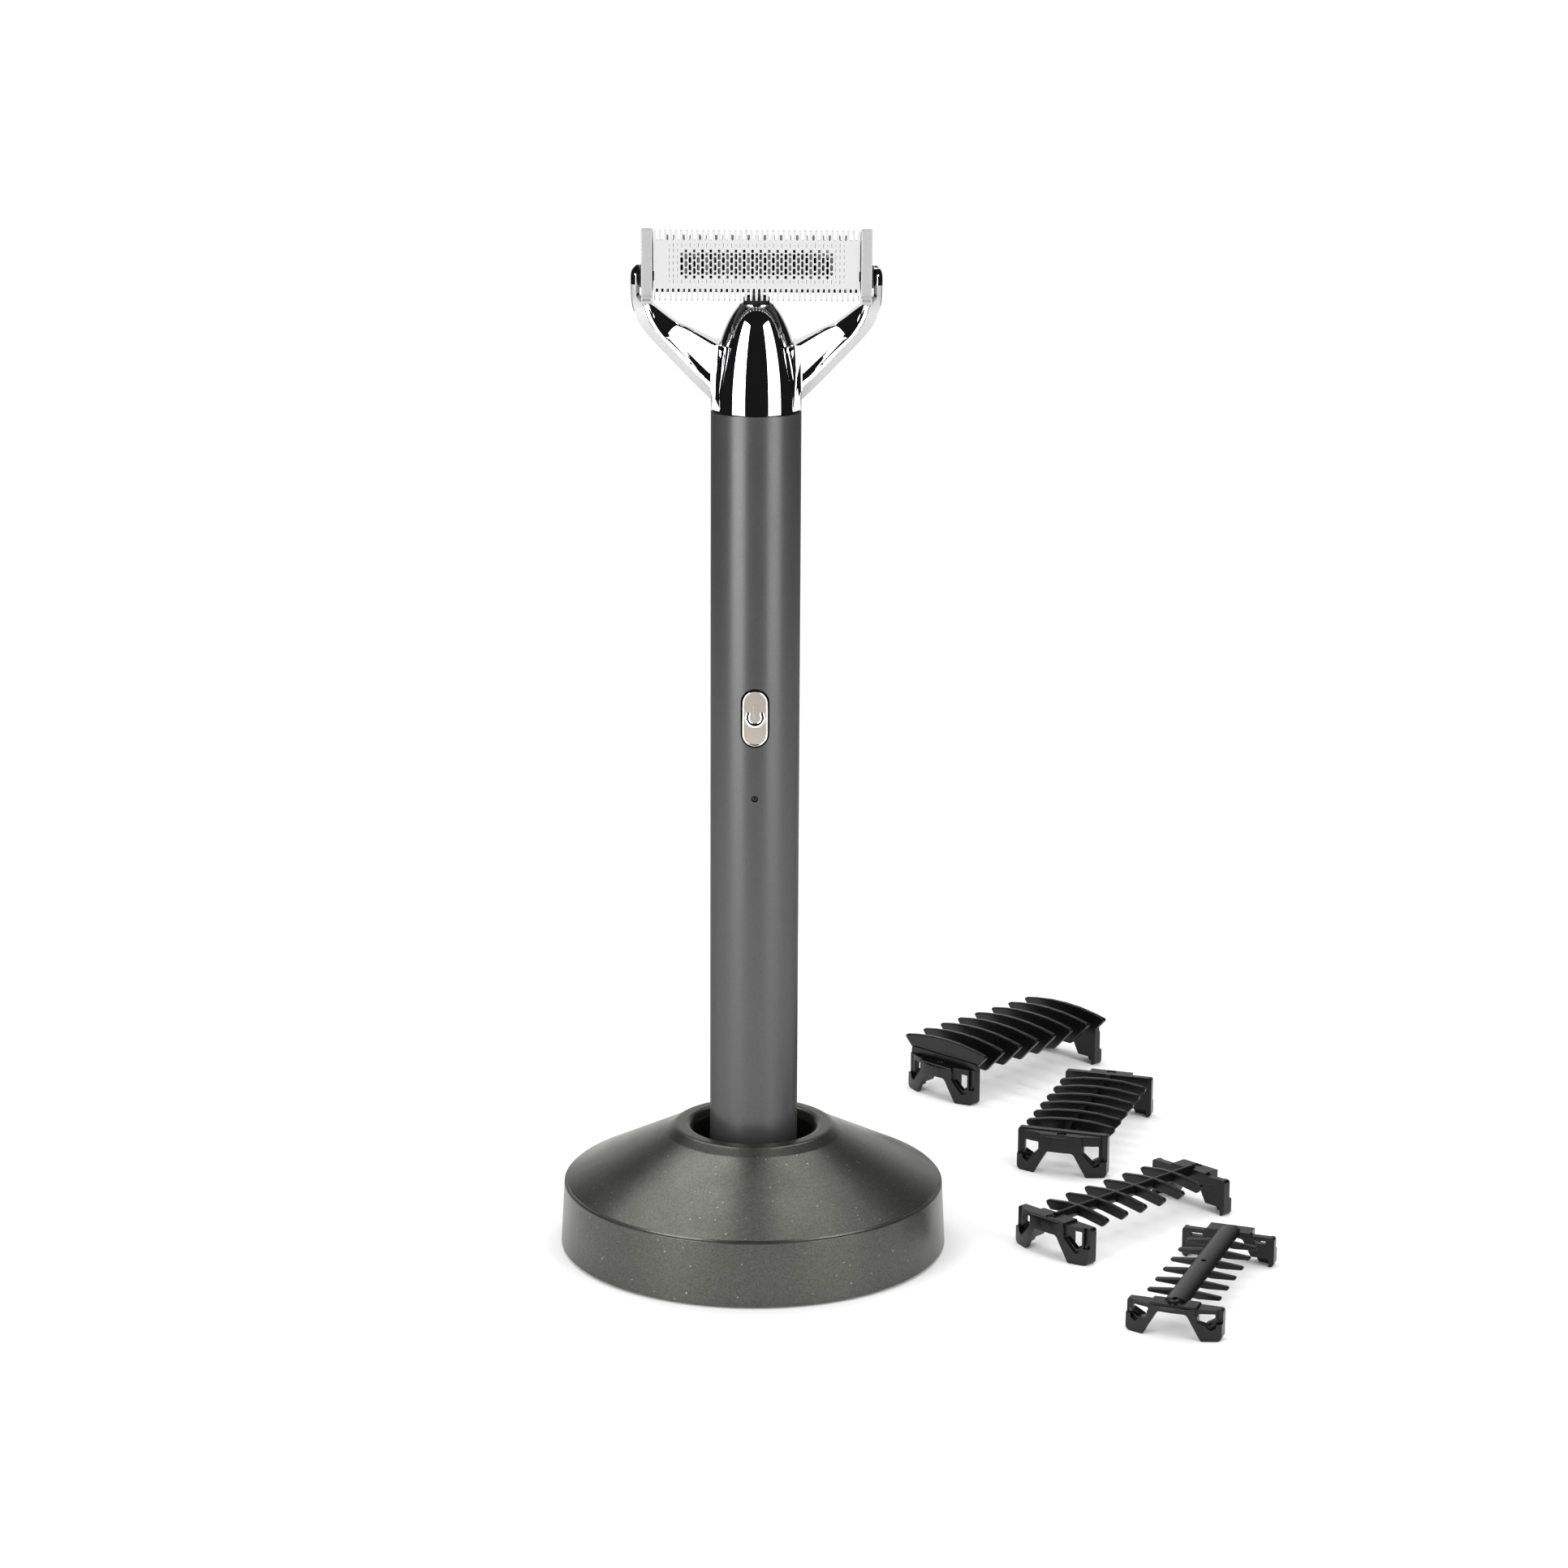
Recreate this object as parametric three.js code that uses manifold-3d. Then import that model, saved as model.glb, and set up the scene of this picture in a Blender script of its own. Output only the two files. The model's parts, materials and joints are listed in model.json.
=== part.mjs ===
// Cordless beard trimmer with a pivoting T-shaped head, its charging stand and four comb guides.
// Units are millimetres, +Z is up, and the origin is the centre of the stand's underside.
// The trimmer's blades face -Y.

import * as THREE from "three";
import { mergeVertices } from "three/addons/utils/BufferGeometryUtils.js";
import Module from "manifold-3d";

const wasm = await Module();
wasm.setup();

// ---------------------------------------------------------------- driving dimensions

const GAP = 0.3; // clearance between separate pieces

const TUBE_R = 8; // handle barrel
const TUBE_WALL = 0.8;
const TUBE_BORE = TUBE_R - TUBE_WALL;
const TUBE_BOTTOM = 9;
const SEAM_Z = 154.74; // joint between the barrel and the chromed nose

const STAND_R = 35.43; // charging stand
const STAND_WALL_TOP = { r: 34.74, z: 12.2 };
const STAND_LIP = { r: 14.3, z: 22.85 };
const WELL_R = 11.1;
const SHELL_WALL = 1.6;

const BUTTON = { z: 100.8, halfWidth: 2.3, halfHeight: 5.1, front: -8.25 };
const LED_Z = 86.1;

const NOSE_TOP_Z = 173.5;
const NOSE_LENGTH = 20; // height at which the ogive would close
const NECK_R = 2.3;
const NECK_TOP_Z = 174.8;

const PIVOT_Z = 178.2; // head pivot axis, along X
const LEVER_Z = 163; // drive lever axis, along Y
const CRANK_OFFSET = 0.6;
const CRANK_PIN_R = 0.5;

const PLATE = { halfWidth: 17.8, bottom: 174.4, top: 186.6, front: -4.2, thickness: 0.4 };
const TOOTH = { pitch: 0.934, gaps: 38, gapWidth: 0.42, lowerLength: 2.1, upperLength: 1.65 };
const CUTTER_TOOTH = { pitch: 1.42, gaps: 22, gapWidth: 0.86, lowerLength: 1.15, upperLength: 1.4 };
const CUTTER_SLOT = { pitch: 1.213, width: 0.73, columns: 22, bottom: 177.7, top: 183.8 };
const SLOT = { pitch: 1.444, width: 0.9, columns: 19, bottom: 178.3, top: 183.3 };
const HEAD_HALF_WIDTH = 20.05;
const ARM_INNER_X = 20.45;
const ARM_HALF_DEPTH = 2.2;

const COMB = {
  finPitch: 5.3, fins: 6, finThickness: 1,
  plateInner: 18.05, plateOuter: 19.35, bowPeak: 22.4, bowEdge: 20.3,
  halfWidth: 8.95, archFoot: 5.2, archTop: 2.6, archHeight: 4.8, skin: 1, sideWall: 1, rimOuter: 19.6,
};

// ---------------------------------------------------------------- materials

function material(color, roughness, metalness) {
  return new THREE.MeshStandardMaterial({ color, roughness, metalness });
}

const standPaint = material(0x5f5f58, 0.42, 0.6);
const satinAluminium = material(0x6c6c6e, 0.34, 0.9);
const chrome = material(0xd8d8dc, 0.06, 1);
const satinSilver = material(0xb9bbbd, 0.3, 1);
const champagne = material(0xb5ab9a, 0.32, 0.9);
const bladeSteel = material(0x9a9b9d, 0.28, 1);
const springSteel = material(0xa9aaac, 0.35, 1);
const motorSteel = material(0xb0b2b5, 0.4, 1);
const brass = material(0xc2a25a, 0.3, 1);
const blackPlastic = material(0x1b1b1b, 0.5, 0);
const combPlastic = material(0x161616, 0.42, 0);
const greyPlastic = material(0x55585b, 0.6, 0);
const rubber = material(0x141414, 0.8, 0);
const boardGreen = material(0x1d5b34, 0.5, 0);
const batteryWrap = material(0x2d5f9a, 0.4, 0);
const smokedLens = material(0x0c0c0d, 0.12, 0);

// ---------------------------------------------------------------- geometry helpers

// One closed mesh with shared vertices, no degenerate triangles and its faces pointing out.
function tidy(geometry) {
  const bare = geometry.clone();
  bare.deleteAttribute("normal");
  bare.deleteAttribute("uv");
  const merged = mergeVertices(bare, 1e-4);
  const position = merged.getAttribute("position");
  const source = merged.index.array;
  const kept = [];
  const corners = [new THREE.Vector3(), new THREE.Vector3(), new THREE.Vector3()];
  let volume = 0;
  for (let i = 0; i < source.length; i += 3) {
    const [a, b, c] = [source[i], source[i + 1], source[i + 2]];
    if (a === b || b === c || c === a) continue;
    kept.push(a, b, c);
    corners[0].fromBufferAttribute(position, a);
    corners[1].fromBufferAttribute(position, b);
    corners[2].fromBufferAttribute(position, c);
    volume += corners[0].dot(corners[1].clone().cross(corners[2]));
  }
  if (volume < 0) kept.reverse();
  merged.setIndex(kept);
  return merged;
}

function solid(geometry) {
  const closed = tidy(geometry);
  const vertProperties = new Float32Array(closed.getAttribute("position").array);
  const triVerts = new Uint32Array(closed.index.array);
  return new wasm.Manifold(new wasm.Mesh({ numProp: 3, vertProperties, triVerts }));
}

function geometryOf(manifold) {
  const mesh = manifold.getMesh();
  const geometry = new THREE.BufferGeometry();
  geometry.setAttribute("position", new THREE.BufferAttribute(new Float32Array(mesh.vertProperties), 3));
  geometry.setIndex(new THREE.BufferAttribute(new Uint32Array(mesh.triVerts), 1));
  geometry.computeVertexNormals();
  return geometry;
}

const join = (first, ...others) => others.reduce((whole, piece) => whole.add(piece), first);
const cut = (first, ...tools) => tools.reduce((whole, tool) => whole.subtract(tool), first);

// A solid turned about Z. The profile is a list of [radius, z], closed or ending on the axis.
function turned(profile, segments = 28) {
  const points = profile.map(([r, z]) => new THREE.Vector2(r, z));
  return solid(new THREE.LatheGeometry(points, segments).rotateX(Math.PI / 2));
}

// A ring of rectangular section about Z.
function ring(inner, outer, z0, z1, segments = 24) {
  return turned([[inner, z0], [outer, z0], [outer, z1], [inner, z1], [inner, z0]], segments);
}

function box(x0, x1, y0, y1, z0, z1) {
  const geometry = new THREE.BoxGeometry(x1 - x0, y1 - y0, z1 - z0);
  geometry.translate((x0 + x1) / 2, (y0 + y1) / 2, (z0 + z1) / 2);
  return solid(geometry);
}

function rodZ(x, y, radius, z0, z1, segments = 12) {
  const geometry = new THREE.CylinderGeometry(radius, radius, z1 - z0, segments);
  geometry.rotateX(Math.PI / 2).translate(x, y, (z0 + z1) / 2);
  return solid(geometry);
}

function rodY(x, z, radius, y0, y1, segments = 16) {
  const geometry = new THREE.CylinderGeometry(radius, radius, y1 - y0, segments);
  return solid(geometry.translate(x, (y0 + y1) / 2, z));
}

function rodX(y, z, radius, x0, x1, segments = 16) {
  const geometry = new THREE.CylinderGeometry(radius, radius, x1 - x0, segments);
  return solid(geometry.rotateZ(Math.PI / 2).translate((x0 + x1) / 2, y, z));
}

function outline(points) {
  return new THREE.Shape(points.map(([u, v]) => new THREE.Vector2(u, v)));
}

// Prisms on a plane outline: along Z from (x, y), along Y from (x, z), along X from (y, z).
function prismZ(shape, z0, z1) {
  return solid(new THREE.ExtrudeGeometry(shape, { depth: z1 - z0, bevelEnabled: false }).translate(0, 0, z0));
}

function prismY(shape, y0, y1) {
  const geometry = new THREE.ExtrudeGeometry(shape, { depth: y1 - y0, bevelEnabled: false });
  return solid(geometry.rotateX(Math.PI / 2).translate(0, y1, 0));
}

function prismX(shape, x0, x1) {
  const geometry = new THREE.ExtrudeGeometry(shape, { depth: x1 - x0, bevelEnabled: false });
  return solid(geometry.rotateZ(Math.PI / 2).rotateY(Math.PI / 2).translate(x0, 0, 0));
}

// An upright pill outline centred at height z, its ends half circles.
function pill(halfWidth, halfHeight, z, segments = 8) {
  const points = [];
  for (const side of [1, -1]) {
    const endCentre = z + side * (halfHeight - halfWidth);
    for (let i = 0; i <= segments; i++) {
      const angle = (Math.PI * i) / segments + (side > 0 ? 0 : Math.PI);
      points.push([halfWidth * Math.cos(angle), endCentre + halfWidth * Math.sin(angle)]);
    }
  }
  return outline(points);
}

const mirrorX = (manifold) => manifold.mirror([1, 0, 0]);

const trimmer = new THREE.Group();

function part(name, manifold, finish, parent = trimmer) {
  const mesh = new THREE.Mesh(geometryOf(manifold), finish);
  mesh.name = name;
  parent.add(mesh);
  return mesh;
}

// ---------------------------------------------------------------- charging stand

const BASE_SCREW_RING = 24;
const BASE_SCREWS = [30, 150, 270].map((degrees) => (degrees * Math.PI) / 180);
const screwSpot = (angle) => [BASE_SCREW_RING * Math.cos(angle), BASE_SCREW_RING * Math.sin(angle)];
const INLET = { z: 6.6, halfWidth: 4.4, inner: 23.5, outer: 32.5 };

function standShell() {
  const skin = turned([
    [STAND_R, 0.5], [STAND_WALL_TOP.r, STAND_WALL_TOP.z], [STAND_WALL_TOP.r - 0.3, STAND_WALL_TOP.z + 0.25],
    [14.9, 22.3], [STAND_LIP.r, STAND_LIP.z], [13.6, STAND_LIP.z + 0.1], [11.7, 22.75],
    [WELL_R, 22.1], [WELL_R, 9.5], [12.6, 9.5], [12.6, 21.1],
    [14.2, 20.8], [33.2, 11.5], [STAND_R - SHELL_WALL, 0.5], [STAND_R, 0.5],
  ], 40);
  const coneUnder = (radius) => 20.8 - ((radius - 14.2) * (20.8 - 11.5)) / (33.2 - 14.2);
  const bosses = BASE_SCREWS.map((angle) => {
    const [x, y] = screwSpot(angle);
    return rodZ(x, y, 3.2, 3.6, coneUnder(BASE_SCREW_RING) + 0.3, 10);
  });
  const pilots = BASE_SCREWS.map((angle) => {
    const [x, y] = screwSpot(angle);
    return rodZ(x, y, 1.5, 3, 11, 10);
  });
  const inletHole = rodY(0, INLET.z, 3.3, STAND_R - 3, STAND_R + 1, 16);
  return cut(join(skin, ...bosses), ...pilots, inletHole);
}

function basePlate() {
  const disc = turned([[0, 1.3], [33.2, 1.3], [33.2, 3.1], [0, 3.1]], 36);
  const holes = BASE_SCREWS.flatMap((angle) => {
    const [x, y] = screwSpot(angle);
    return [rodZ(x, y, 3, 1, 2.4), rodZ(x, y, 1.5, 1, 4)];
  });
  return cut(disc, ...holes);
}

function ballast() {
  const weight = ring(13.5, 31.5, 3.5, 9);
  const reliefs = BASE_SCREWS.map((angle) => {
    const [x, y] = screwSpot(angle);
    return rodZ(x, y, 4, 3, 10);
  });
  const inletBay = box(-5.2, 5.2, INLET.inner - 1, 40, 3, 12);
  return cut(weight, ...reliefs, inletBay);
}

function socketCup() {
  const cup = turned([
    [0, 5.2], [10.6, 5.2], [10.6, 13], [8.9, 13], [8.6, 12.6], [8.6, 6.8], [0, 6.8],
  ]);
  return cut(cup, rodZ(-3, 0, 1.2, 5, 7), rodZ(3, 0, 1.2, 5, 7));
}

function inletSocket() {
  const housing = box(-INLET.halfWidth, INLET.halfWidth, INLET.inner, INLET.outer, 3.6, 9.9);
  const recess = rodY(0, INLET.z, 2.7, INLET.inner + 2, INLET.outer + 1, 20);
  const pin = rodY(0, INLET.z, 0.7, INLET.inner + 1, INLET.outer - 1, 10);
  return join(cut(housing, recess), pin);
}

function screw(x, y, headZ, headR, headH, shankR, length, upward) {
  const direction = upward ? 1 : -1;
  const base = headZ;
  const profile = [
    [0, base], [headR, base], [headR, base + direction * headH], [shankR, base + direction * headH],
    [shankR, base + direction * (headH + length)], [0, base + direction * (headH + length)],
  ];
  return turned(profile, 12).translate([x, y, 0]);
}

function buildStand() {
  part("stand_shell", standShell(), standPaint);
  part("base_plate", basePlate(), blackPlastic);
  part("foot_pad", turned([[0, 0], [33, 0], [33, 1], [0, 1]], 36), rubber);
  part("ballast_weight", ballast(), motorSteel);
  part("socket_cup", socketCup(), blackPlastic);
  part("charging_board", turned([[0, 3.4], [10.4, 3.4], [10.4, 4.5], [0, 4.5]], 24), boardGreen);
  part("inlet_socket", inletSocket(), blackPlastic);
  for (const [side, x] of [["left", -3], ["right", 3]]) {
    part(`contact_pin_${side}`, rodZ(x, 0, 0.8, 4.8, 8, 12), brass);
  }
  BASE_SCREWS.forEach((angle, index) => {
    const [x, y] = screwSpot(angle);
    part(`base_screw_${index + 1}`, screw(x, y, 1.3, 2.6, 0.9, 1.2, 7, true), springSteel);
  });
}

// ---------------------------------------------------------------- handle

function handleTube() {
  const barrel = turned([
    [TUBE_R - 0.3, TUBE_BOTTOM], [TUBE_R, TUBE_BOTTOM + 0.3], [TUBE_R, SEAM_Z - 0.12],
    [TUBE_BORE, SEAM_Z - 0.12], [TUBE_BORE, TUBE_BOTTOM], [TUBE_R - 0.3, TUBE_BOTTOM],
  ], 40);
  const window = prismY(pill(BUTTON.halfWidth + GAP, BUTTON.halfHeight + GAP, BUTTON.z), -TUBE_R - 1, 0);
  const ledHole = rodY(0, LED_Z, 0.8, -TUBE_R - 1, 0, 12);
  return cut(barrel, window, ledHole);
}

function endCap() {
  const plug = turned([
    [0, 8.3], [7.5, 8.3], [7.7, 8.5], [7.7, 8.7], [6.9, 8.7], [6.9, 10.4], [6.1, 10.4], [6.1, 11.8],
    [6.9, 11.8], [6.9, 13.5], [0, 13.5],
  ], 24);
  return cut(plug, rodZ(-3, 0, 1.6, 8, 9.6), rodZ(3, 0, 1.6, 8, 9.6));
}

// Half-round cradle that carries the cell and the board, tied by ribs at its ends and middle.
function chassis() {
  const channel = ring(5.9, 6.8, 14, 112);
  const open = box(-9, 9, -9, -0.6, 13, 113);
  const ribs = [16, 64, 110].map((z) => cut(
    rodZ(0, 0, 6.3, z - 0.75, z + 0.75, 24),
    box(-9, 9, -9, -2.6, z - 2, z + 2),
    rodZ(0, 1.5, 1.6, z - 2, z + 2),
  ));
  return join(cut(channel, open), ...ribs);
}

function motorMount() {
  const plate = turned([[0, 143], [6.8, 143], [6.8, 145], [0, 145]], 24);
  return cut(plate, rodZ(0, 0, 2.4, 142, 146), rodZ(-4, 0, 1, 142, 146), rodZ(4, 0, 1, 142, 146));
}

function motor() {
  const can = turned([
    [0, 116], [1.2, 116], [1.2, 117], [5, 117], [5, 141.2], [2, 141.2], [2, 142.6], [0, 142.6],
  ], 24);
  return cut(can, rodZ(-4, 0, 0.95, 138, 142), rodZ(4, 0, 0.95, 138, 142), rodZ(0, 0, 1, 138, 143));
}

const noseRadius = (z) => TUBE_R * Math.sqrt(1 - ((z - SEAM_Z) / NOSE_LENGTH) ** 2);

function noseCone() {
  const steps = 5;
  const start = SEAM_Z + 0.12;
  const outer = [];
  const inner = [];
  for (let i = 0; i <= steps; i++) {
    const z = start + ((NOSE_TOP_Z - start) * i) / steps;
    outer.push([noseRadius(z) + (i === steps ? 0.05 : 0), z]);
    inner.unshift([Math.max(noseRadius(z) - 1.1, NECK_R + GAP), i === steps ? z : z - 0.4]);
  }
  const spigot = [[5.7, start - 0.4], [5.7, 147.5], [6.9, 147.5], [6.9, 149.5], [6.4, 149.5], [6.4, 150.9],
    [6.9, 150.9], [6.9, start]];
  const body = turned([...outer, ...inner, ...spigot, outer[0]], 32);
  const pinHoles = rodY(0, LEVER_Z, 1.1, -6.2, 6.2, 16);
  return cut(body, pinHoles);
}

// Outer and inner edges of the left yoke strap in (x, z), mirrored for the right one.
const STRAP_OUTER = [[-20.95, 180.2], [-21.7, 179.6], [-22, 178.2], [-21.93, 174.5], [-21.58, 172.5],
  [-20.88, 170.4], [-19.75, 168.6], [-18.12, 166.8], [-14.87, 163.4], [-11.6, 160], [-7.9, 156.35]];
const STRAP_INNER = [[-6.9, 159.3], [-9.27, 161.5], [-12.54, 164.9], [-15.75, 168.15], [-17.25, 170.3],
  [-17.95, 171.8], [-18.5, 173.2], [-ARM_INNER_X, 174.3], [-ARM_INNER_X, 180.2]];
const EAR_SPREAD = 8.25; // half width of the collar ear's sector at radius 12
const WEB_TOP = [[-6.4, 167.0], [-7, 166.7], [-9.2, 167.9], [-11.6, 169.2], [-13.7, 170.1], [-15.2, 171.1],
  [-16.5, 172.1], [-18.3, 173.4], [-19.2, 173.2]];

function yokeArm() {
  const strap = prismY(outline([...STRAP_OUTER, ...STRAP_INNER]), -ARM_HALF_DEPTH, ARM_HALF_DEPTH);
  const web = prismY(outline([[-19.8, 170.4], [-7.4, 157.6], ...WEB_TOP]), -1.1, 1.1);
  const sleeve = ring(4, TUBE_R, 155.2, 166.7, 64);
  const ear = sleeve.intersect(prismZ(outline([[0, 0], [-12, EAR_SPREAD], [-12, -EAR_SPREAD]]), 150, 170));
  const belowPivot = box(-23, 0, -4, 4, 150, PIVOT_Z - 0.2);
  const roundTop = join(rodX(0, PIVOT_Z - 0.2, ARM_HALF_DEPTH, -23, -20, 20), belowPivot);
  const bearing = rodX(0, PIVOT_Z, 1.15, -21.6, -20, 16);
  const rows = 10;
  const hull = [];
  for (let i = 0; i <= rows; i++) {
    const z = 155 + ((NOSE_TOP_Z - 155) * i) / rows;
    hull.push([noseRadius(z) + GAP, z]);
  }
  const noseSpace = turned([[0, 150], [TUBE_R + GAP, 150], ...hull, [0, NOSE_TOP_Z]]);
  return cut(join(join(strap, web).intersect(roundTop), ear), bearing, noseSpace);
}

function driveNeck() {
  return turned([
    [1.95, 170.6], [NECK_R, 170.6], [NECK_R, NECK_TOP_Z - 0.3], [NECK_R - 0.15, NECK_TOP_Z],
    [1.95, NECK_TOP_Z], [1.95, 170.6],
  ], 24);
}

function buildHandle() {
  part("handle_tube", handleTube(), satinAluminium);
  part("end_cap", endCap(), blackPlastic);
  part("end_cap_seal", ring(6.35, 6.95, 10.7, 11.5), rubber);
  for (const [side, x] of [["left", -3], ["right", 3]]) {
    part(`charge_pad_${side}`, rodZ(x, 0, 1.25, 8.35, 9.3, 12), brass);
  }
  part("chassis", chassis(), greyPlastic);
  part("battery", turned([
    [0, 18], [4.9, 18], [5, 18.2], [5, 61.2], [2.2, 61.2], [2.2, 62], [0, 62],
  ], 24), batteryWrap);
  part("circuit_board", box(-4.8, 4.8, -4.6, -3.6, 67, 108), boardGreen);
  part("power_switch", box(-1.6, 1.6, -6, -4.9, 98.8, 102.8), greyPlastic);
  part("charge_led", rodY(0, LED_Z, 0.9, -6.4, -4.9, 12), smokedLens);
  part("led_lens", rodY(0, LED_Z, 0.5, -8, -6.8, 12), smokedLens);
  part("button_seal", buttonSeal(), rubber);
  part("motor", motor(), motorSteel);
  part("motor_mount", motorMount(), greyPlastic);
  part("motor_screw_left", screw(-4, 0, 146.1, 1.5, 0.8, 0.65, 4.6, false), springSteel);
  part("motor_screw_right", screw(4, 0, 146.1, 1.5, 0.8, 0.65, 4.6, false), springSteel);
  part("nose_cone", noseCone(), chrome);
  part("nose_seal", ring(6.5, 7.05, 149.8, 150.6), rubber);
  part("yoke_arm_left", yokeArm(), chrome);
  part("yoke_arm_right", mirrorX(yokeArm()), chrome);
  part("lever_pivot_pin", rodY(0, LEVER_Z, 0.8, -5.9, 5.9, 12), springSteel);
  part("drive_neck", driveNeck(), rubber);
}

function buttonSeal() {
  const frame = prismY(pill(3, 5.9, BUTTON.z), -6.35, -6.05);
  return cut(frame, prismY(pill(1.7, 4.5, BUTTON.z), -7, -5));
}

function buildButton() {
  const cap = prismY(pill(BUTTON.halfWidth, BUTTON.halfHeight, BUTTON.z), BUTTON.front, -7.1);
  const stem = prismY(pill(1.1, 2.2, BUTTON.z), -7.2, -6.8);
  part("power_button", join(cap, stem), champagne);
}

// ---------------------------------------------------------------- drive

function eccentric() {
  const cup = turned([
    [1, 147.2], [3.4, 147.2], [3.4, 149.6], [0, 149.6], [0, 149], [1, 149], [1, 147.2],
  ], 24);
  return join(cup, rodZ(CRANK_OFFSET, 0, CRANK_PIN_R, 149.4, 152.4, 12));
}

// A fork below the pivot takes the crank pin, and the blade above it pushes the cutter.
function driveLever() {
  const hub = rodY(0, LEVER_Z, 2.4, -1.8, 1.8, 20);
  const stem = box(-0.8, 0.8, -1.1, 1.1, LEVER_Z, PIVOT_Z + 0.7);
  const shank = box(-1.6, 1.6, -1.4, 1.4, 153.6, LEVER_Z);
  const fork = box(-2.8, 2.8, -1.9, 1.9, 150, 154.4);
  const slotHalf = CRANK_OFFSET * 2 + CRANK_PIN_R + 0.15;
  const slot = box(-slotHalf, slotHalf, -3, 3, 149, 152.9);
  const bore = rodY(0, LEVER_Z, 0.86, -3, 3, 16);
  return cut(join(hub, stem, shank, fork), slot, bore);
}

function buildDrive() {
  part("motor_shaft", rodZ(0, 0, 0.7, 139, 148.6, 12), springSteel);
  part("eccentric", eccentric(), greyPlastic);
  part("drive_lever", driveLever(), greyPlastic);
}

// ---------------------------------------------------------------- pivoting head

// Toothed plate outline in (x, z): square-ended teeth along both long edges.
function toothedOutline(halfWidth, bottom, top, { pitch, gaps, gapWidth, lowerLength, upperLength }) {
  const points = [[-halfWidth, bottom]];
  const first = (-(gaps - 1) / 2) * pitch;
  const reach = gapWidth / 2;
  for (let i = 0; i < gaps; i++) {
    const x = first + i * pitch;
    const root = bottom + lowerLength;
    points.push([x - reach, bottom], [x - reach, root], [x + reach, root], [x + reach, bottom]);
  }
  points.push([halfWidth, bottom], [halfWidth, top]);
  for (let i = gaps - 1; i >= 0; i--) {
    const x = first + i * pitch;
    const root = top - upperLength;
    points.push([x + reach, top], [x + reach, root], [x - reach, root], [x - reach, top]);
  }
  points.push([-halfWidth, top]);
  return outline(points);
}

function bladePlate() {
  const shape = toothedOutline(PLATE.halfWidth, PLATE.bottom, PLATE.top, TOOTH);
  const reach = SLOT.width / 2;
  const slots = [];
  for (let i = 0; i < SLOT.columns; i++) {
    const x = (i - (SLOT.columns - 1) / 2) * SLOT.pitch;
    slots.push(box(x - reach, x + reach, PLATE.front - 1, PLATE.front + 1, SLOT.bottom, SLOT.top));
  }
  return cut(prismY(shape, PLATE.front, PLATE.front + PLATE.thickness), ...slots);
}

// Tray behind the blades: it is open to the front and lets the drive lever in from below.
function headHousing() {
  const shell = box(-17.8, 17.8, -2.4, 3.6, 175.6, 184.5);
  const hollow = box(-16.7, 16.7, -3, 2.6, 176.6, 183.8);
  const leverWay = box(-2.7, 2.7, -1.9, 1.9, 175, 177);
  const pinHoles = join(rodX(0, PIVOT_Z, 1.15, -19, -16, 16), rodX(0, PIVOT_Z, 1.15, 16, 19, 16));
  const crownShape = outline([[3.5, 176.2], [4.1, 178], [4.35, 180.6], [4.1, 183.2], [3.5, 184.1]]);
  const crown = prismX(crownShape, -17.8, 17.8);
  return join(cut(shell, hollow, leverWay), crown).subtract(pinHoles);
}

// Side profile in (y, z): flat bevelled front, a foot at the lower front and relief for the yoke.
const CAP_PROFILE = [[-4.6, 175.2], [-5.2, 174.9], [-5.2, 174.2], [-4.9, 173.9], [-3.6, 173.9], [-3.4, 174.2],
  [-3.1, 175.2], [3.2, 175.4], [4.2, 176.4], [4.5, 180.6], [4.1, 184.8], [3.2, 186.3], [-3.6, 187],
  [-4.3, 186.8], [-4.6, 186.3]];

function headEndCap() {
  const inner = 18.1;
  const body = prismX(outline(CAP_PROFILE), -HEAD_HALF_WIDTH, -inner);
  const hole = rodX(0, PIVOT_Z, 1.15, -21, -17, 16);
  return cut(body, hole);
}

function pivotPin() {
  const hub = rodX(0, PIVOT_Z, 2, -20.4, -20.12, 20);
  const shaft = rodX(0, PIVOT_Z, 0.85, -21.4, -16.9, 12);
  return join(hub, shaft);
}

// Leaf that presses the cutter against the fixed blade.
function bladeSpring() {
  const leaf = outline([
    [-14, -1.5], [-13.4, -1.5], [-10, -0.6], [-5, 1.7], [5, 1.7], [10, -0.6], [13.4, -1.5], [14, -1.5],
    [14, -1.8], [13.3, -1.8], [9.9, -0.9], [4.9, 1.4], [-4.9, 1.4], [-9.9, -0.9], [-13.3, -1.8], [-14, -1.8],
  ]);
  return prismZ(leaf, 181.6, 183.3);
}

function buildHead() {
  part("fixed_blade", bladePlate(), bladeSteel);
  part("head_housing", headHousing(), blackPlastic);
  part("head_end_cap_left", headEndCap(), satinSilver);
  part("head_end_cap_right", mirrorX(headEndCap()), satinSilver);
  part("pivot_pin_left", pivotPin(), blackPlastic);
  part("pivot_pin_right", mirrorX(pivotPin()), blackPlastic);
  part("blade_spring", bladeSpring(), springSteel);
}

function buildCutter() {
  const blade = prismY(toothedOutline(16, 175.95, 185.75, CUTTER_TOOTH), -3.5, -3.15);
  const { bottom, columns, pitch, top, width } = CUTTER_SLOT;
  const slots = [];
  for (let i = 0; i < columns; i++) {
    const x = (i - (columns - 1) / 2) * pitch;
    slots.push(box(x - width / 2, x + width / 2, -4, -3, bottom, top));
  }
  part("moving_blade", cut(blade, ...slots), bladeSteel);
  const back = box(-9, 9, -2.85, -2.15, 176.9, 183.5);
  const fork = join(box(-2.35, -1.3, -2.3, 1.7, 176.9, 180.6), box(1.3, 2.35, -2.3, 1.7, 176.9, 180.6));
  part("cutter_carrier", join(back, fork), blackPlastic);
}

// ---------------------------------------------------------------- comb guides

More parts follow.
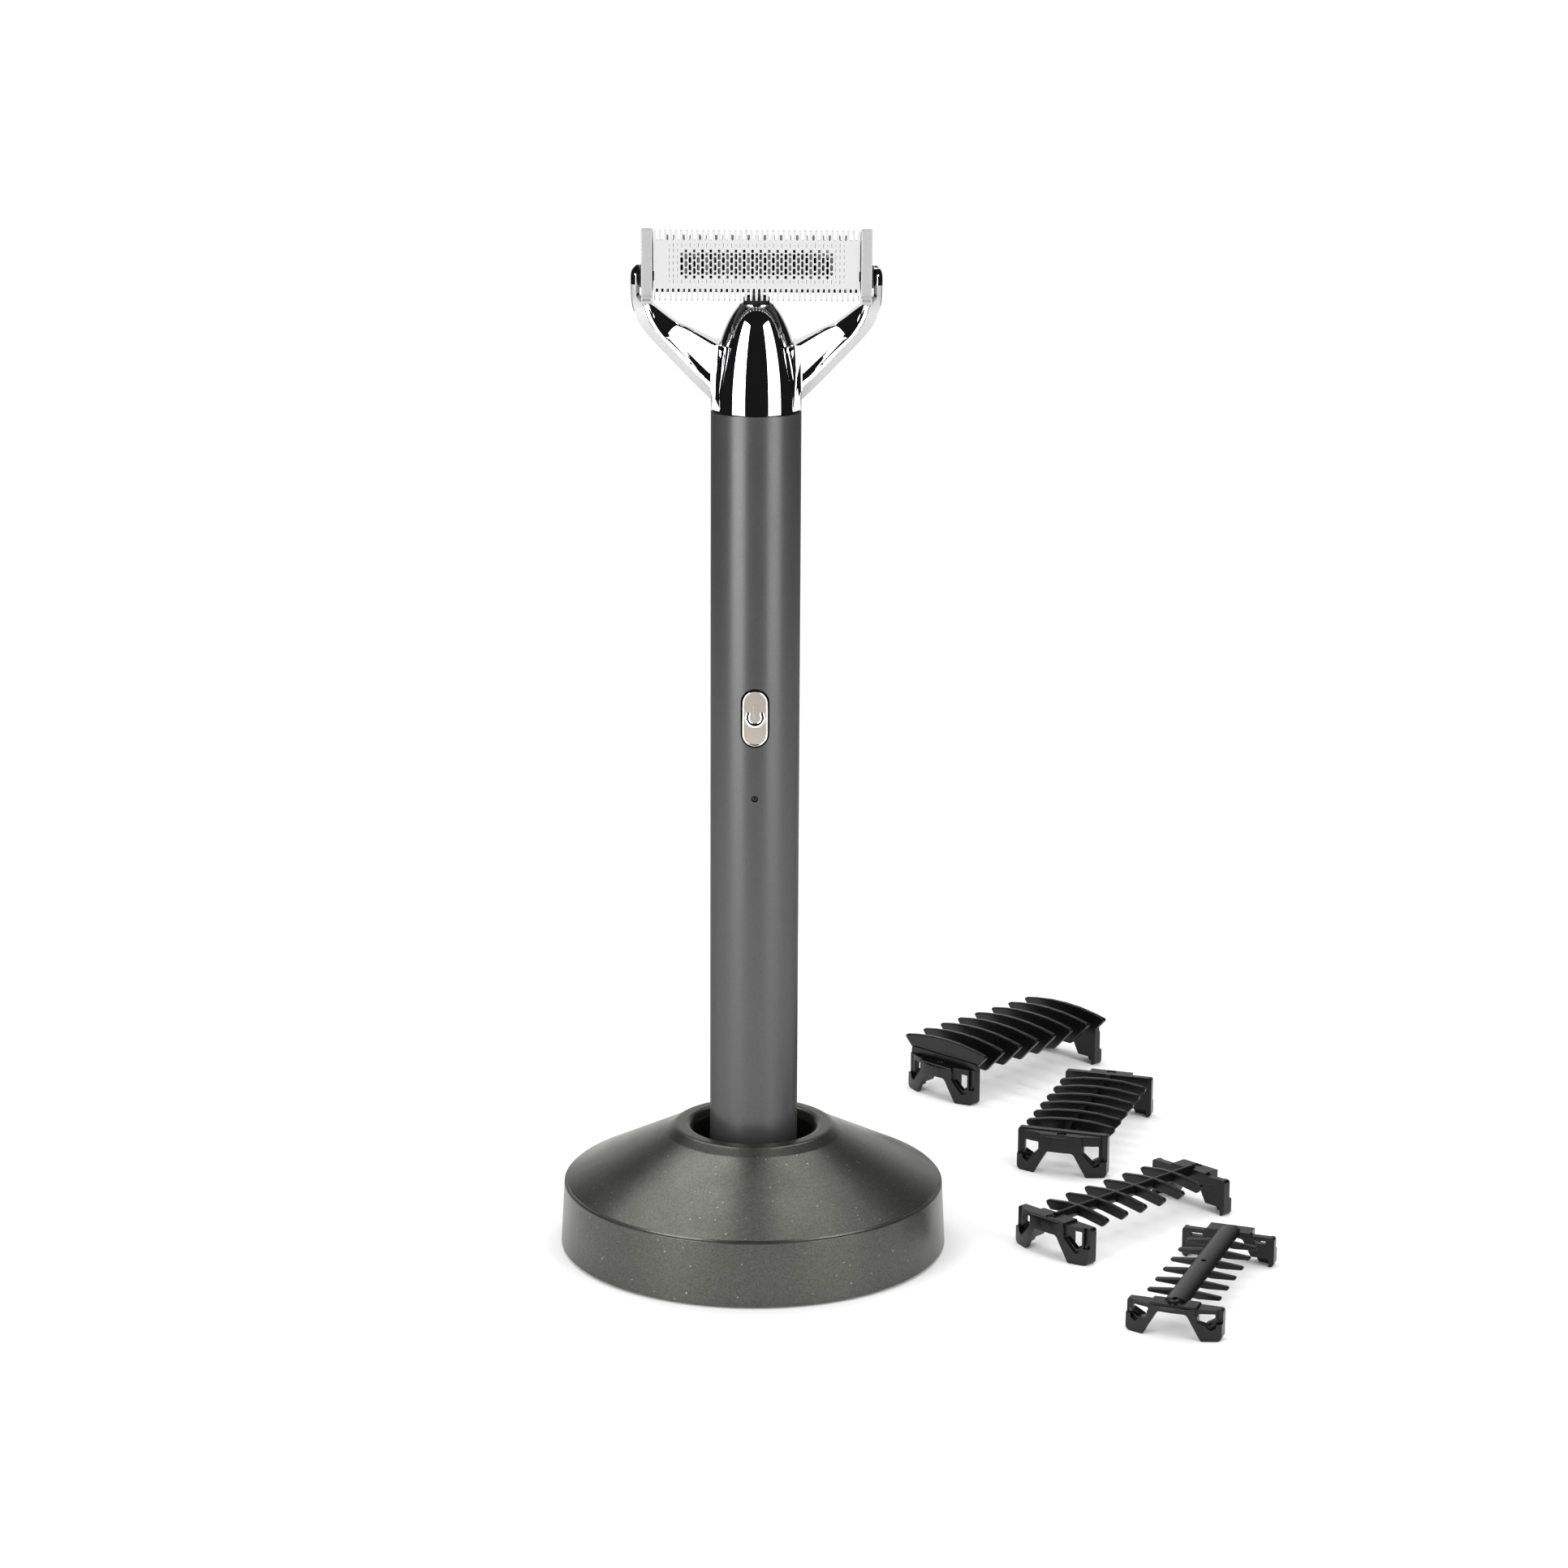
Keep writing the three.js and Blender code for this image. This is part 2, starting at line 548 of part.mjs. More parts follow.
// Each guide lies on its feet. Its own axes are X along the row of fins and Y across them.
// style.band is the height of the end plates' shoulders, style.fin is half a fin's outline in (y, z).
const COMB_STYLES = {
  long: {
    halfWidth: 8.95, band: 8.6, blockTop: 7.2, blockHalf: 5.2, spine: [5.6, 7.2, 0.8],
    fin: [[0, 11.9], [4, 11.75], [8, 11.25], [10.7, 10.75], [11.15, 10.4], [10.8, 9.9], [6.5, 5.5], [0, 5.5]],
  },
  medium: {
    halfWidth: 8.95, band: 8.3, blockTop: 7.2, blockHalf: 5.2, spine: [5.8, 7.6, 0.8],
    fin: [[0, 9], [4, 8.8], [8.3, 8.1], [8.9, 7.7], [8.8, 7.1], [7.5, 5.8], [0, 5.8]],
  },
  short: {
    halfWidth: 8.95, band: 7.1, blockTop: 7, blockHalf: 4.6, spine: [5.8, 7.9, 0.8],
    fin: [[0, 7.9], [2.5, 7.8], [7.1, 7.1], [7.6, 6.7], [7.3, 6.2], [6.4, 5.3], [1.6, 5.9], [0, 5.9]],
  },
  bare: {
    halfWidth: 8.65, band: 5.6, blockTop: 5.5, blockHalf: 4.2, spine: [4.7, 6.7, 2.1],
    fin: [[0, 5.9], [2.5, 5.9], [6.4, 5.5], [6.8, 5.2], [6.4, 4.8], [2.5, 4.6], [0, 4.8]],
  },
};

function mirrored(half) {
  return outline([...half, ...half.slice(1, -1).reverse().map(([y, z]) => [-y, z])]);
}

// Points along the bowed end of a guide, in plan, from one side to the other.
function bowEdge(inset, reach) {
  const points = [];
  for (let i = -2; i <= 2; i++) {
    const y = (reach * i) / 2;
    const drop = (COMB.bowPeak - COMB.bowEdge) * (y / COMB.halfWidth) ** 2;
    points.push([COMB.bowPeak - inset - drop, y]);
  }
  return points;
}

// Leg outline of one end in (y, z): a band on two feet with an arch between them.
function legOutline(halfWidth, band) {
  const { archFoot, archTop, archHeight } = COMB;
  return outline([
    [halfWidth, 0.8], [halfWidth, band - 0.4], [halfWidth - 0.5, band], [-halfWidth + 0.5, band],
    [-halfWidth, band - 0.4], [-halfWidth, 0.8], [-halfWidth + 0.8, 0], [-archFoot, 0],
    [-archTop, archHeight], [archTop, archHeight], [archFoot, 0], [halfWidth - 0.8, 0],
  ]);
}

// Openings in one leg, as outlines in (y, z) for the +Y side.
function legOpenings(lid) {
  return {
    pocket: [[4.9, lid], [7.4, lid], [7.4, 2.6], [6.5, 2], [4.9, 5]],
    window: [[4.6, lid - 0.8], [7, lid - 0.8], [7, 4.2], [5.8, 3], [4.7, lid - 1.1]],
    hook: [[5.9, 1.8], [8, 1.8], [8, 3.4], [6.6, 3]],
  };
}

// One end of a guide: a flat plate above, and hollow legs behind a skin that bows outwards.
function combEnd(style) {
  const { archHeight, bowPeak, plateInner, plateOuter, rimOuter, skin, sideWall } = COMB;
  const { halfWidth, band, blockHalf, blockTop } = style;
  const inside = halfWidth - sideWall;
  const plan = outline([[plateInner, -halfWidth], ...bowEdge(0, halfWidth), [plateInner, halfWidth]]);
  const hollow = outline([[plateInner - 1, -inside], ...bowEdge(skin, inside), [plateInner - 1, inside]]);
  const legs = prismX(legOutline(halfWidth, band), plateInner, bowPeak + 1).intersect(prismZ(plan, -1, 20));
  const blockFace = box(plateOuter, 30, -blockHalf, blockHalf, blockTop, 20);
  let end = cut(legs, blockFace, prismZ(hollow, -1, archHeight));
  const { pocket, window, hook } = legOpenings(Math.min(7.3, band - 0.5));
  for (const side of [-1, 1]) {
    const onSide = (points) => outline(points.map(([y, z]) => [side * y, z]));
    const rim = onSide([[7.1, 3.3], [10, 3.3], [10, 20], [7.1, 20]]);
    end = cut(end, prismX(rim, rimOuter, 30), prismX(onSide(pocket), plateOuter, 30));
    end = cut(end, prismX(onSide(window), 10, 30));
    end = join(end, prismX(onSide(hook), plateOuter - 0.4, plateOuter + 0.8));
  }
  return end;
}

function spineOutline(low, high, half) {
  const middle = (low + high) / 2;
  return outline([
    [-half, low], [half, low], [half * 0.8, middle], [half * 0.35, high],
    [-half * 0.35, high], [-half * 0.8, middle],
  ]);
}

function comb(style) {
  const end = combEnd(style);
  let guide = join(end, mirrorX(end));
  const finShape = mirrored(style.fin);
  for (let i = 0; i < COMB.fins; i++) {
    const x = (i - (COMB.fins - 1) / 2) * COMB.finPitch;
    guide = guide.add(prismX(finShape, x - COMB.finThickness / 2, x + COMB.finThickness / 2));
  }
  guide = guide.add(prismX(spineOutline(...style.spine), -COMB.plateOuter, COMB.plateOuter));
  if (style === COMB_STYLES.long) {
    for (const side of [-1, 1]) {
      const near = side * COMB.plateInner;
      const far = side * (COMB.plateInner + 1);
      guide = guide.add(prismX(finShape, Math.min(near, far), Math.max(near, far)));
    }
  }
  return guide;
}

const COMBS = [
  { name: "comb_long", style: "long", x: 52.7, y: 98.4, turn: 44.8 },
  { name: "comb_medium", style: "medium", x: 66.2, y: 56.3, turn: 71.6 },
  { name: "comb_short", style: "short", x: 69.4, y: 6.8, turn: 43.6 },
  { name: "comb_bare", style: "bare", x: 80.3, y: -27.9, turn: 69.4 },
];

function buildCombs() {
  for (const { name, style, x, y, turn } of COMBS) {
    const mesh = part(name, comb(COMB_STYLES[style]), combPlastic);
    mesh.position.set(x, y, 0);
    mesh.rotation.z = THREE.MathUtils.degToRad(turn);
  }
}

buildStand();
buildHandle();
buildButton();
buildDrive();
buildHead();
buildCutter();
buildCombs();

export default trimmer;
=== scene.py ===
"""Looks of the beard trimmer, its charging stand and its comb guides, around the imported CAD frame."""

import json
import math

import bmesh
import bpy
import numpy as np
from mathutils import Matrix, Vector


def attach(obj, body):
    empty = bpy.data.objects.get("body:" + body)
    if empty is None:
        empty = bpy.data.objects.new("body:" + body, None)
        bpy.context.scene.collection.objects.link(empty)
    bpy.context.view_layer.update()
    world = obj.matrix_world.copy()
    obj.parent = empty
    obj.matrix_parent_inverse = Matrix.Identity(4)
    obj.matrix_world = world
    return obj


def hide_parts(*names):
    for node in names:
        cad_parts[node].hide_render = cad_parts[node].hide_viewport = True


MM = 0.001

# ------------------------ driving dimensions, in millimetres

STAND_R = 35.4
STAND_LOW = 0.5
WALL_TOP = 12.1
LIP_TOP = 22.9
WELL_R = 11.1
WELL_LOW = 9.5
INLET_Z = 6.6

TUBE_R = 8.0
TUBE_BORE_R = 7.2
TUBE_LOW = 9.0
SEAM_Z = 154.74
SEAM_GAP = 0.12
BUTTON_Z = 100.8
BUTTON_HALF_WIDTH = 2.28
BUTTON_HALF_HEIGHT = 5.08
BUTTON_GAP = 0.28
LIGHT_Z = 86.1

NOSE_LENGTH = 20.0
NOSE_TOP = 173.5
NOSE_BORE_R = 2.6
SPIGOT_R = 6.9
SPIGOT_LOW = 147.5

PIVOT_Z = 178.2
PIVOT_HOLE_R = 1.15

# ------------------------ mesh helpers

# Corners flatter than this, in radians, stay as they are. An arc takes at most this share of an edge.
NEARLY_STRAIGHT = 0.02
ARC_SHARE = 0.48


def make_object(name, vertices, faces, smooth_angle=35.0):
    """A mesh object from vertices in millimetres, smooth except across edges sharper than the angle."""
    mesh = bpy.data.meshes.new(name)
    mesh.from_pydata([tuple(c * MM for c in v) for v in vertices], [], faces)
    obj = bpy.data.objects.new(name, mesh)
    bpy.context.scene.collection.objects.link(obj)
    fix_normals(mesh)
    shade(mesh, smooth_angle)
    return obj


def fix_normals(mesh):
    """Turns every face outwards."""
    bm = bmesh.new()
    bm.from_mesh(mesh)
    bmesh.ops.recalc_face_normals(bm, faces=bm.faces)
    bm.to_mesh(mesh)
    bm.free()


def shade(mesh, smooth_angle):
    """Smooth shading, except across edges sharper than the angle."""
    mesh.polygons.foreach_set("use_smooth", [True] * len(mesh.polygons))
    mesh.set_sharp_from_angle(angle=math.radians(smooth_angle))


def lathe(name, profile, segments=192, smooth_angle=35.0):
    """A closed profile of (radius, z) turned about Z. Points on the axis become poles."""
    vertices, rings = [], []
    for radius, z in profile:
        if radius < 1e-6:
            rings.append([len(vertices)])
            vertices.append((0.0, 0.0, z))
            continue
        start = len(vertices)
        rings.append(list(range(start, start + segments)))
        for i in range(segments):
            angle = 2 * math.pi * i / segments
            vertices.append((radius * math.cos(angle), radius * math.sin(angle), z))
    faces = []
    pairs = list(zip(rings, rings[1:]))
    if len(rings[0]) > 1 and len(rings[-1]) > 1:
        pairs.append((rings[-1], rings[0]))
    for low, high in pairs:
        for i in range(segments):
            j = (i + 1) % segments
            if len(low) > 1 and len(high) > 1:
                faces.append((low[i], low[j], high[j], high[i]))
            elif len(low) > 1:
                faces.append((low[i], low[j], high[0]))
            elif len(high) > 1:
                faces.append((low[0], high[j], high[i]))
    return make_object(name, vertices, faces, smooth_angle)


def rounded(points, radius=0.0, steps=5, closed=True):
    """A polyline with its corners replaced by arcs. A point's third number is a radius of its own."""
    result = []
    count = len(points)
    for i, point in enumerate(points):
        own_radius = point[2] if len(point) > 2 else radius
        if (not closed and i in (0, count - 1)) or own_radius <= 0:
            result.append(tuple(point[:2]))
            continue
        here = np.array(point[:2], float)
        before = np.array(points[i - 1][:2], float) - here
        after = np.array(points[(i + 1) % count][:2], float) - here
        len_a, len_b = np.linalg.norm(before), np.linalg.norm(after)
        before, after = before / len_a, after / len_b
        half = math.acos(max(-1.0, min(1.0, float(before @ after)))) / 2
        if half > math.pi / 2 - NEARLY_STRAIGHT:
            result.append(tuple(point[:2]))
            continue
        reach = min(own_radius / math.tan(half), ARC_SHARE * len_a, ARC_SHARE * len_b)
        size = reach * math.tan(half)
        centre = here + (before + after) / np.linalg.norm(before + after) * (size / math.sin(half))
        start, end = here + before * reach - centre, here + after * reach - centre
        a0 = math.atan2(start[1], start[0])
        turn = math.atan2(end[1], end[0]) - a0
        turn = (turn + math.pi) % (2 * math.pi) - math.pi
        for k in range(steps + 1):
            a = a0 + turn * k / steps
            result.append((centre[0] + size * math.cos(a), centre[1] + size * math.sin(a)))
    return result


def prisms(name, outlines, low, high, axis, smooth_angle=35.0):
    """Outlines extruded along an axis: (y, z) for X, (x, z) for Y and (x, y) for Z."""
    place = {
        "X": lambda u, v, w: (w, u, v),
        "Y": lambda u, v, w: (u, w, v),
        "Z": lambda u, v, w: (u, v, w),
    }[axis]
    vertices, faces = [], []
    for outline in outlines:
        start, count = len(vertices), len(outline)
        vertices += [place(u, v, low) for u, v in outline] + [place(u, v, high) for u, v in outline]
        faces += [tuple(range(start, start + count)), tuple(range(start + count, start + 2 * count))]
        for i in range(count):
            j = (i + 1) % count
            faces.append((start + i, start + j, start + count + j, start + count + i))
    return make_object(name, vertices, faces, smooth_angle)


def prism(name, outline, low, high, axis, smooth_angle=35.0):
    """One outline extruded along an axis."""
    return prisms(name, [outline], low, high, axis, smooth_angle)


def loft(name, rings, smooth_angle=35.0):
    """A closed skin over rings of points with equal counts, capped at both ends."""
    count = len(rings[0])
    vertices = [point for ring in rings for point in ring]
    faces = [tuple(range(count)), tuple(range(len(vertices) - count, len(vertices)))]
    for level in range(len(rings) - 1):
        low, high = level * count, (level + 1) * count
        for i in range(count):
            j = (i + 1) % count
            faces.append((low + i, low + j, high + j, high + i))
    return make_object(name, vertices, faces, smooth_angle)


def layered(name, layers, smooth_angle=35.0):
    """A closed skin over outlines in (x, z), each with its own y."""
    return loft(name, [[(x, y, z) for x, z in outline] for outline, y in layers], smooth_angle)


def apply_modifiers(obj):
    """Bakes an object's modifiers into its mesh."""
    depsgraph = bpy.context.evaluated_depsgraph_get()
    mesh = bpy.data.meshes.new_from_object(obj.evaluated_get(depsgraph))
    obj.modifiers.clear()
    old = obj.data
    obj.data = mesh
    bpy.data.meshes.remove(old)
    return obj


def boolean(obj, tools, operation):
    """Cuts a shape with others, joins them or keeps what they share. The others are used up."""
    for tool in tools:
        modifier = obj.modifiers.new("boolean", "BOOLEAN")
        modifier.operation = operation
        modifier.solver = "MANIFOLD"
        modifier.object = tool
    apply_modifiers(obj)
    for tool in tools:
        mesh = tool.data
        bpy.data.objects.remove(tool)
        bpy.data.meshes.remove(mesh)
    return obj


def cut(obj, tools):
    """Cuts a shape with others."""
    return boolean(obj, tools, "DIFFERENCE")


def bevel(obj, width, segments=3, angle=40.0, smooth_angle=50.0):
    """Rounds every edge sharper than the angle."""
    modifier = obj.modifiers.new("bevel", "BEVEL")
    modifier.width = width * MM
    modifier.segments = segments
    modifier.limit_method = "ANGLE"
    modifier.angle_limit = math.radians(angle)
    modifier.use_clamp_overlap = True
    apply_modifiers(obj)
    shade(obj.data, smooth_angle)
    return obj


def soften(obj, width):
    """Merges flat neighbours and rounds the edges of a cut shape."""
    bm = bmesh.new()
    bm.from_mesh(obj.data)
    bmesh.ops.remove_doubles(bm, verts=bm.verts, dist=0.002 * MM)
    bmesh.ops.dissolve_limit(bm, angle_limit=math.radians(1.5), verts=bm.verts, edges=bm.edges)
    bm.to_mesh(obj.data)
    bm.free()
    return bevel(obj, width, 2, 38, 50)


def settle(obj):
    """Keeps large flat faces flat next to small rounded ones."""
    modifier = obj.modifiers.new("normals", "WEIGHTED_NORMAL")
    modifier.keep_sharp = True
    return apply_modifiers(obj)


def flat_normals(obj):
    """Exact normals for every face of a thin plate that lies in one plane across Y."""
    mesh = obj.data
    normals = [tuple(corner.vector) for corner in mesh.corner_normals]
    middle = sum(vertex.co.y for vertex in mesh.vertices) / len(mesh.vertices)
    for face in mesh.polygons:
        depths = [mesh.vertices[i].co.y for i in face.vertices]
        if max(depths) - min(depths) > 0.0001 * MM:
            continue
        facing = 1.0 if depths[0] > middle else -1.0
        for loop in face.loop_indices:
            normals[loop] = (0.0, facing, 0.0)
    mesh.normals_split_custom_set(normals)
    return obj


def round_normals(obj, radius):
    """True cylinder normals for the faces of a barrel about Z that lie on this radius."""
    mesh = obj.data
    normals = [tuple(corner.vector) for corner in mesh.corner_normals]
    for face in mesh.polygons:
        upright = abs(face.normal.z) <= 0.02
        on_radius = abs(face.center.xy.length / MM - radius) <= 0.06
        if not upright or not on_radius or face.normal.xy.dot(face.center.xy.normalized()) < 0.9:
            continue
        for loop in face.loop_indices:
            place = mesh.vertices[mesh.loops[loop].vertex_index].co.xy.normalized()
            normals[loop] = (place.x, place.y, 0.0)
    mesh.normals_split_custom_set(normals)
    return obj


# ------------------------ material helpers


def set_range(node, low, high, to_low, to_high):
    """Sets a Map Range node's four limits."""
    for key, number in zip(("From Min", "From Max", "To Min", "To Max"), (low, high, to_low, to_high)):
        node.inputs[key].default_value = number


class Nodes:
    """Short calls for building one material's node tree."""

    def __init__(self, name):
        self.material = bpy.data.materials.new(name)
        self.material.use_nodes = True
        self.tree = self.material.node_tree
        self.shader = self.tree.nodes["Principled BSDF"]
        self.coords = self.tree.nodes.new("ShaderNodeTexCoord").outputs["Object"]

    def set(self, **values):
        for key, value in values.items():
            self.shader.inputs[key.replace("_", " ")].default_value = value

    def link(self, output, socket):
        self.tree.links.new(output, socket)

    def mapping(self, scale):
        node = self.tree.nodes.new("ShaderNodeMapping")
        node.inputs["Scale"].default_value = scale
        self.link(self.coords, node.inputs["Vector"])
        return node.outputs["Vector"]

    def noise(self, scale, detail=2.0, stretch=(1, 1, 1)):
        node = self.tree.nodes.new("ShaderNodeTexNoise")
        node.inputs["Scale"].default_value = scale
        node.inputs["Detail"].default_value = detail
        self.link(self.mapping(stretch), node.inputs["Vector"])
        return node.outputs["Fac"]

    def cells(self, scale):
        node = self.tree.nodes.new("ShaderNodeTexVoronoi")
        node.inputs["Scale"].default_value = scale
        self.link(self.coords, node.inputs["Vector"])
        return node

    def spread(self, value, low, high, to_low, to_high):
        node = self.tree.nodes.new("ShaderNodeMapRange")
        set_range(node, low, high, to_low, to_high)
        self.link(value, node.inputs["Value"])
        return node.outputs["Result"]

    def blend(self, factor, first, second):
        node = self.tree.nodes.new("ShaderNodeMix")
        node.data_type = "RGBA"
        self.link(factor, node.inputs["Factor"])
        node.inputs["A"].default_value = (*first, 1)
        node.inputs["B"].default_value = (*second, 1)
        return node.outputs["Result"]

    def bump(self, height, strength, distance):
        node = self.tree.nodes.new("ShaderNodeBump")
        node.inputs["Strength"].default_value = strength
        node.inputs["Distance"].default_value = distance
        self.link(height, node.inputs["Height"])
        self.link(node.outputs["Normal"], self.shader.inputs["Normal"])

    def drive(self, key, output):
        self.link(output, self.shader.inputs[key])


# ------------------------ materials

FLAKES_PER_METRE = 5200.0
BRIGHT_FLAKES = (0.9985, 0.999)


def grey(level):
    return (level, level, level)


def flake_paint():
    """Warm grey metallic paint: fine flakes, now and then a bright one."""
    n = Nodes("stand_flake_paint")
    n.set(Metallic=0.88)
    flakes = n.cells(FLAKES_PER_METRE)
    pick = n.tree.nodes.new("ShaderNodeSeparateColor")
    n.link(flakes.outputs["Color"], pick.inputs["Color"])
    tone = n.spread(pick.outputs["Red"], 0.0, BRIGHT_FLAKES[0], 0.0, 0.1)
    spark = n.spread(pick.outputs["Red"], *BRIGHT_FLAKES, 0.0, 0.7)
    both = n.tree.nodes.new("ShaderNodeMath")
    n.link(tone, both.inputs[0])
    n.link(spark, both.inputs[1])
    n.drive("Base Color", n.blend(both.outputs["Value"], (0.066, 0.066, 0.058), (0.42, 0.42, 0.4)))
    cloud = n.noise(160.0, 3.0)
    n.drive("Roughness", n.spread(cloud, 0.3, 0.7, 0.28, 0.33))
    n.bump(pick.outputs["Green"], 0.1, 0.00003)
    return n.material


def satin_metal(name, dark, light, roughness, grain=(1, 1, 1), strength=0.05, metallic=1.0, edge=1.0):
    """Fine grained metal. A low edge value holds back the reflection at grazing angles."""
    n = Nodes(name)
    n.set(Metallic=metallic, Specular_Tint=(edge, edge, edge, 1))
    fine = n.noise(2600.0, 3.0, grain)
    broad = n.noise(90.0)
    n.drive("Base Color", n.blend(fine, dark, light))
    n.drive("Roughness", n.spread(broad, 0.3, 0.7, roughness - 0.02, roughness + 0.02))
    n.bump(fine, strength, 0.00002)
    return n.material


def chrome_plate():
    """Mirror chrome with a very faint haze."""
    n = Nodes("chrome_plate")
    n.set(Metallic=1.0)
    haze = n.noise(240.0)
    n.drive("Base Color", n.blend(haze, (0.82, 0.82, 0.83), (0.88, 0.88, 0.89)))
    n.drive("Roughness", n.spread(haze, 0.3, 0.7, 0.012, 0.03))
    return n.material


def moulded(name, dark, light, roughness, strength=0.12):
    """Plastic or rubber with a fine moulded grain."""
    n = Nodes(name)
    n.set(Metallic=0.0, Specular_IOR_Level=0.35)
    grain = n.noise(2200.0, 3.0)
    cloud = n.noise(120.0)
    n.drive("Base Color", n.blend(cloud, dark, light))
    n.drive("Roughness", n.spread(grain, 0.3, 0.7, roughness - 0.04, roughness + 0.04))
    n.bump(grain, strength, 0.00004)
    return n.material


def make_materials():
    """A material for every slot of the record, and the finishes that a piece may have instead."""
    ground = dict(grain=(1, 1, 14), strength=0.0)
    return {
        "stand_paint": flake_paint(),
        "satin_aluminium": satin_metal(
            "anodised_tube", (0.08, 0.08, 0.081), (0.1, 0.1, 0.101), 0.32, metallic=0.7, edge=0.25),
        "chrome": chrome_plate(),
        "satin_silver": satin_metal("satin_silver", grey(0.32), grey(0.35), 0.34, metallic=0.3),
        "satin_strap": satin_metal("satin_strap", grey(0.34), grey(0.36), 0.42, metallic=0.3),
        "champagne_rim": satin_metal("champagne_rim", (0.8, 0.77, 0.72), (0.86, 0.83, 0.78), 0.1),
        "champagne": satin_metal(
            "champagne_button", (0.27, 0.24, 0.215), (0.3, 0.27, 0.24), 0.3, metallic=0.3),
        "blade_steel": satin_metal("ground_steel", grey(0.43), grey(0.45), 0.3, metallic=0.2, **ground),
        "blade_edge": satin_metal("ground_edge", grey(0.5), grey(0.54), 0.14, **ground),
        "spring_steel": satin_metal("bright_steel", (0.5, 0.5, 0.51), (0.58, 0.58, 0.59), 0.3),
        "motor_steel": satin_metal("zinc_steel", (0.42, 0.42, 0.43), (0.5, 0.5, 0.51), 0.36),
        "ballast_iron": moulded("cast_iron", (0.05, 0.05, 0.052), (0.09, 0.09, 0.092), 0.6, 0.5),
        "brass": satin_metal("contact_brass", (0.66, 0.48, 0.19), (0.74, 0.56, 0.25), 0.22),
        "black_plastic": moulded("black_plastic", grey(0.008), grey(0.013), 0.42),
        "comb_plastic": moulded("comb_plastic", grey(0.001), (0.002, 0.002, 0.0019), 0.3),
        "grey_plastic": moulded("grey_plastic", (0.09, 0.1, 0.105), (0.12, 0.13, 0.135), 0.5),
        "rubber": moulded("rubber", grey(0.006), grey(0.011), 0.7, 0.3),
        "circuit_board": moulded("board_green", (0.008, 0.09, 0.03), (0.012, 0.13, 0.045), 0.35),
        "battery_wrap": moulded("battery_wrap", (0.02, 0.1, 0.3), (0.03, 0.13, 0.36), 0.3),
        "smoked_lens": moulded("smoked_lens", grey(0.003), grey(0.006), 0.12, 0.02),
    }


# ------------------------ outlines


def pill(half_width, half_height, z, steps=20, x=0.0):
    """An upright pill in (x, z) with half-round ends."""
    points = []
    for side in (1, -1):
        centre = z + side * (half_height - half_width)
        for i in range(steps + 1):
            angle = math.pi * i / steps + (0 if side > 0 else math.pi)
            points.append((x + half_width * math.cos(angle), centre + half_width * math.sin(angle)))
    return points


def circle(u, v, radius, steps=32):
    turn = 2 * math.pi / steps
    return [(u + radius * math.cos(turn * i), v + radius * math.sin(turn * i)) for i in range(steps)]


def rectangle(u0, u1, v0, v1):
    return [(u0, v0), (u1, v0), (u1, v1), (u0, v1)]


def centred(count, pitch):
    """Places in a row, evenly spaced about zero."""
    return [(i - (count - 1) / 2) * pitch for i in range(count)]


# ------------------------ charging stand

SHELL_WALL = 1.5
FOOT_CHAMFER = 0.12
INLET_HOLE_R = 3.3
JACK_R = 2.7
JACK_NEAR = 23.5
JACK_FAR = 32.5


def stand_shell():
    """Painted shell: drafted wall, a fine step, a straight cone and a rolled lip around the well."""
    outside = rounded([
        (STAND_R, STAND_LOW), (34.78, WALL_TOP, 0.16), (34.38, WALL_TOP + 0.06, 0.05),
        (34.3, WALL_TOP + 0.4, 0.1), (16.2, 21.6, 3.0), (14.3, LIP_TOP, 1.5), (11.9, LIP_TOP, 1.3),
        (WELL_R, 21.6, 1.6), (WELL_R, WELL_LOW)], steps=10, closed=False)
    foot = [(STAND_R - FOOT_CHAMFER, STAND_LOW), (STAND_R, STAND_LOW + FOOT_CHAMFER)]
    behind_well = WELL_R + SHELL_WALL
    inside = [(behind_well, WELL_LOW), (behind_well, 20.9), (14.2, 20.8), (33.2, 11.5), (33.8, STAND_LOW)]
    shell = lathe("stand_shell_painted", foot + outside[1:] + inside, 288, 30)
    hole = prism("inlet_hole", circle(0, INLET_Z, INLET_HOLE_R, 48), 31, 37, "Y")
    return cut(shell, [hole])


def inlet():
    """Round jack recess, behind the hole in the back of the stand."""
    housing = prism("inlet_jack", rectangle(-4.4, 4.4, 3.6, 9.9), JACK_NEAR, JACK_FAR, "Y")
    recess = prism("recess", circle(0, INLET_Z, JACK_R, 40), JACK_NEAR + 2, JACK_FAR + 1, "Y")
    cut(housing, [recess])
    return bevel(housing, 0.2, 2)


def inlet_pin():
    """The jack's centre pin, with a rounded tip."""
    steps = ((0.7, 25.4), (0.7, 30.9), (0.6, 31.2), (0.35, 31.4))
    return layered("inlet_pin", [(circle(0, INLET_Z, radius, 20), y) for radius, y in steps])


# ------------------------ handle

FRONT_CUT = (-10.0, -3.0)
LIGHT_HOLE_R = 0.6
FACE_INSET = 0.4
RING_R = 1.37
RING_HALF_WIDTH = 0.48
RING_LIFT = 0.12
RING_START = 48.0
RING_TURN = 276.0
BAR_HALF_WIDTH = 0.44
BAR_HALF_HEIGHT = 1.4
BAR_LIFT = 1.07


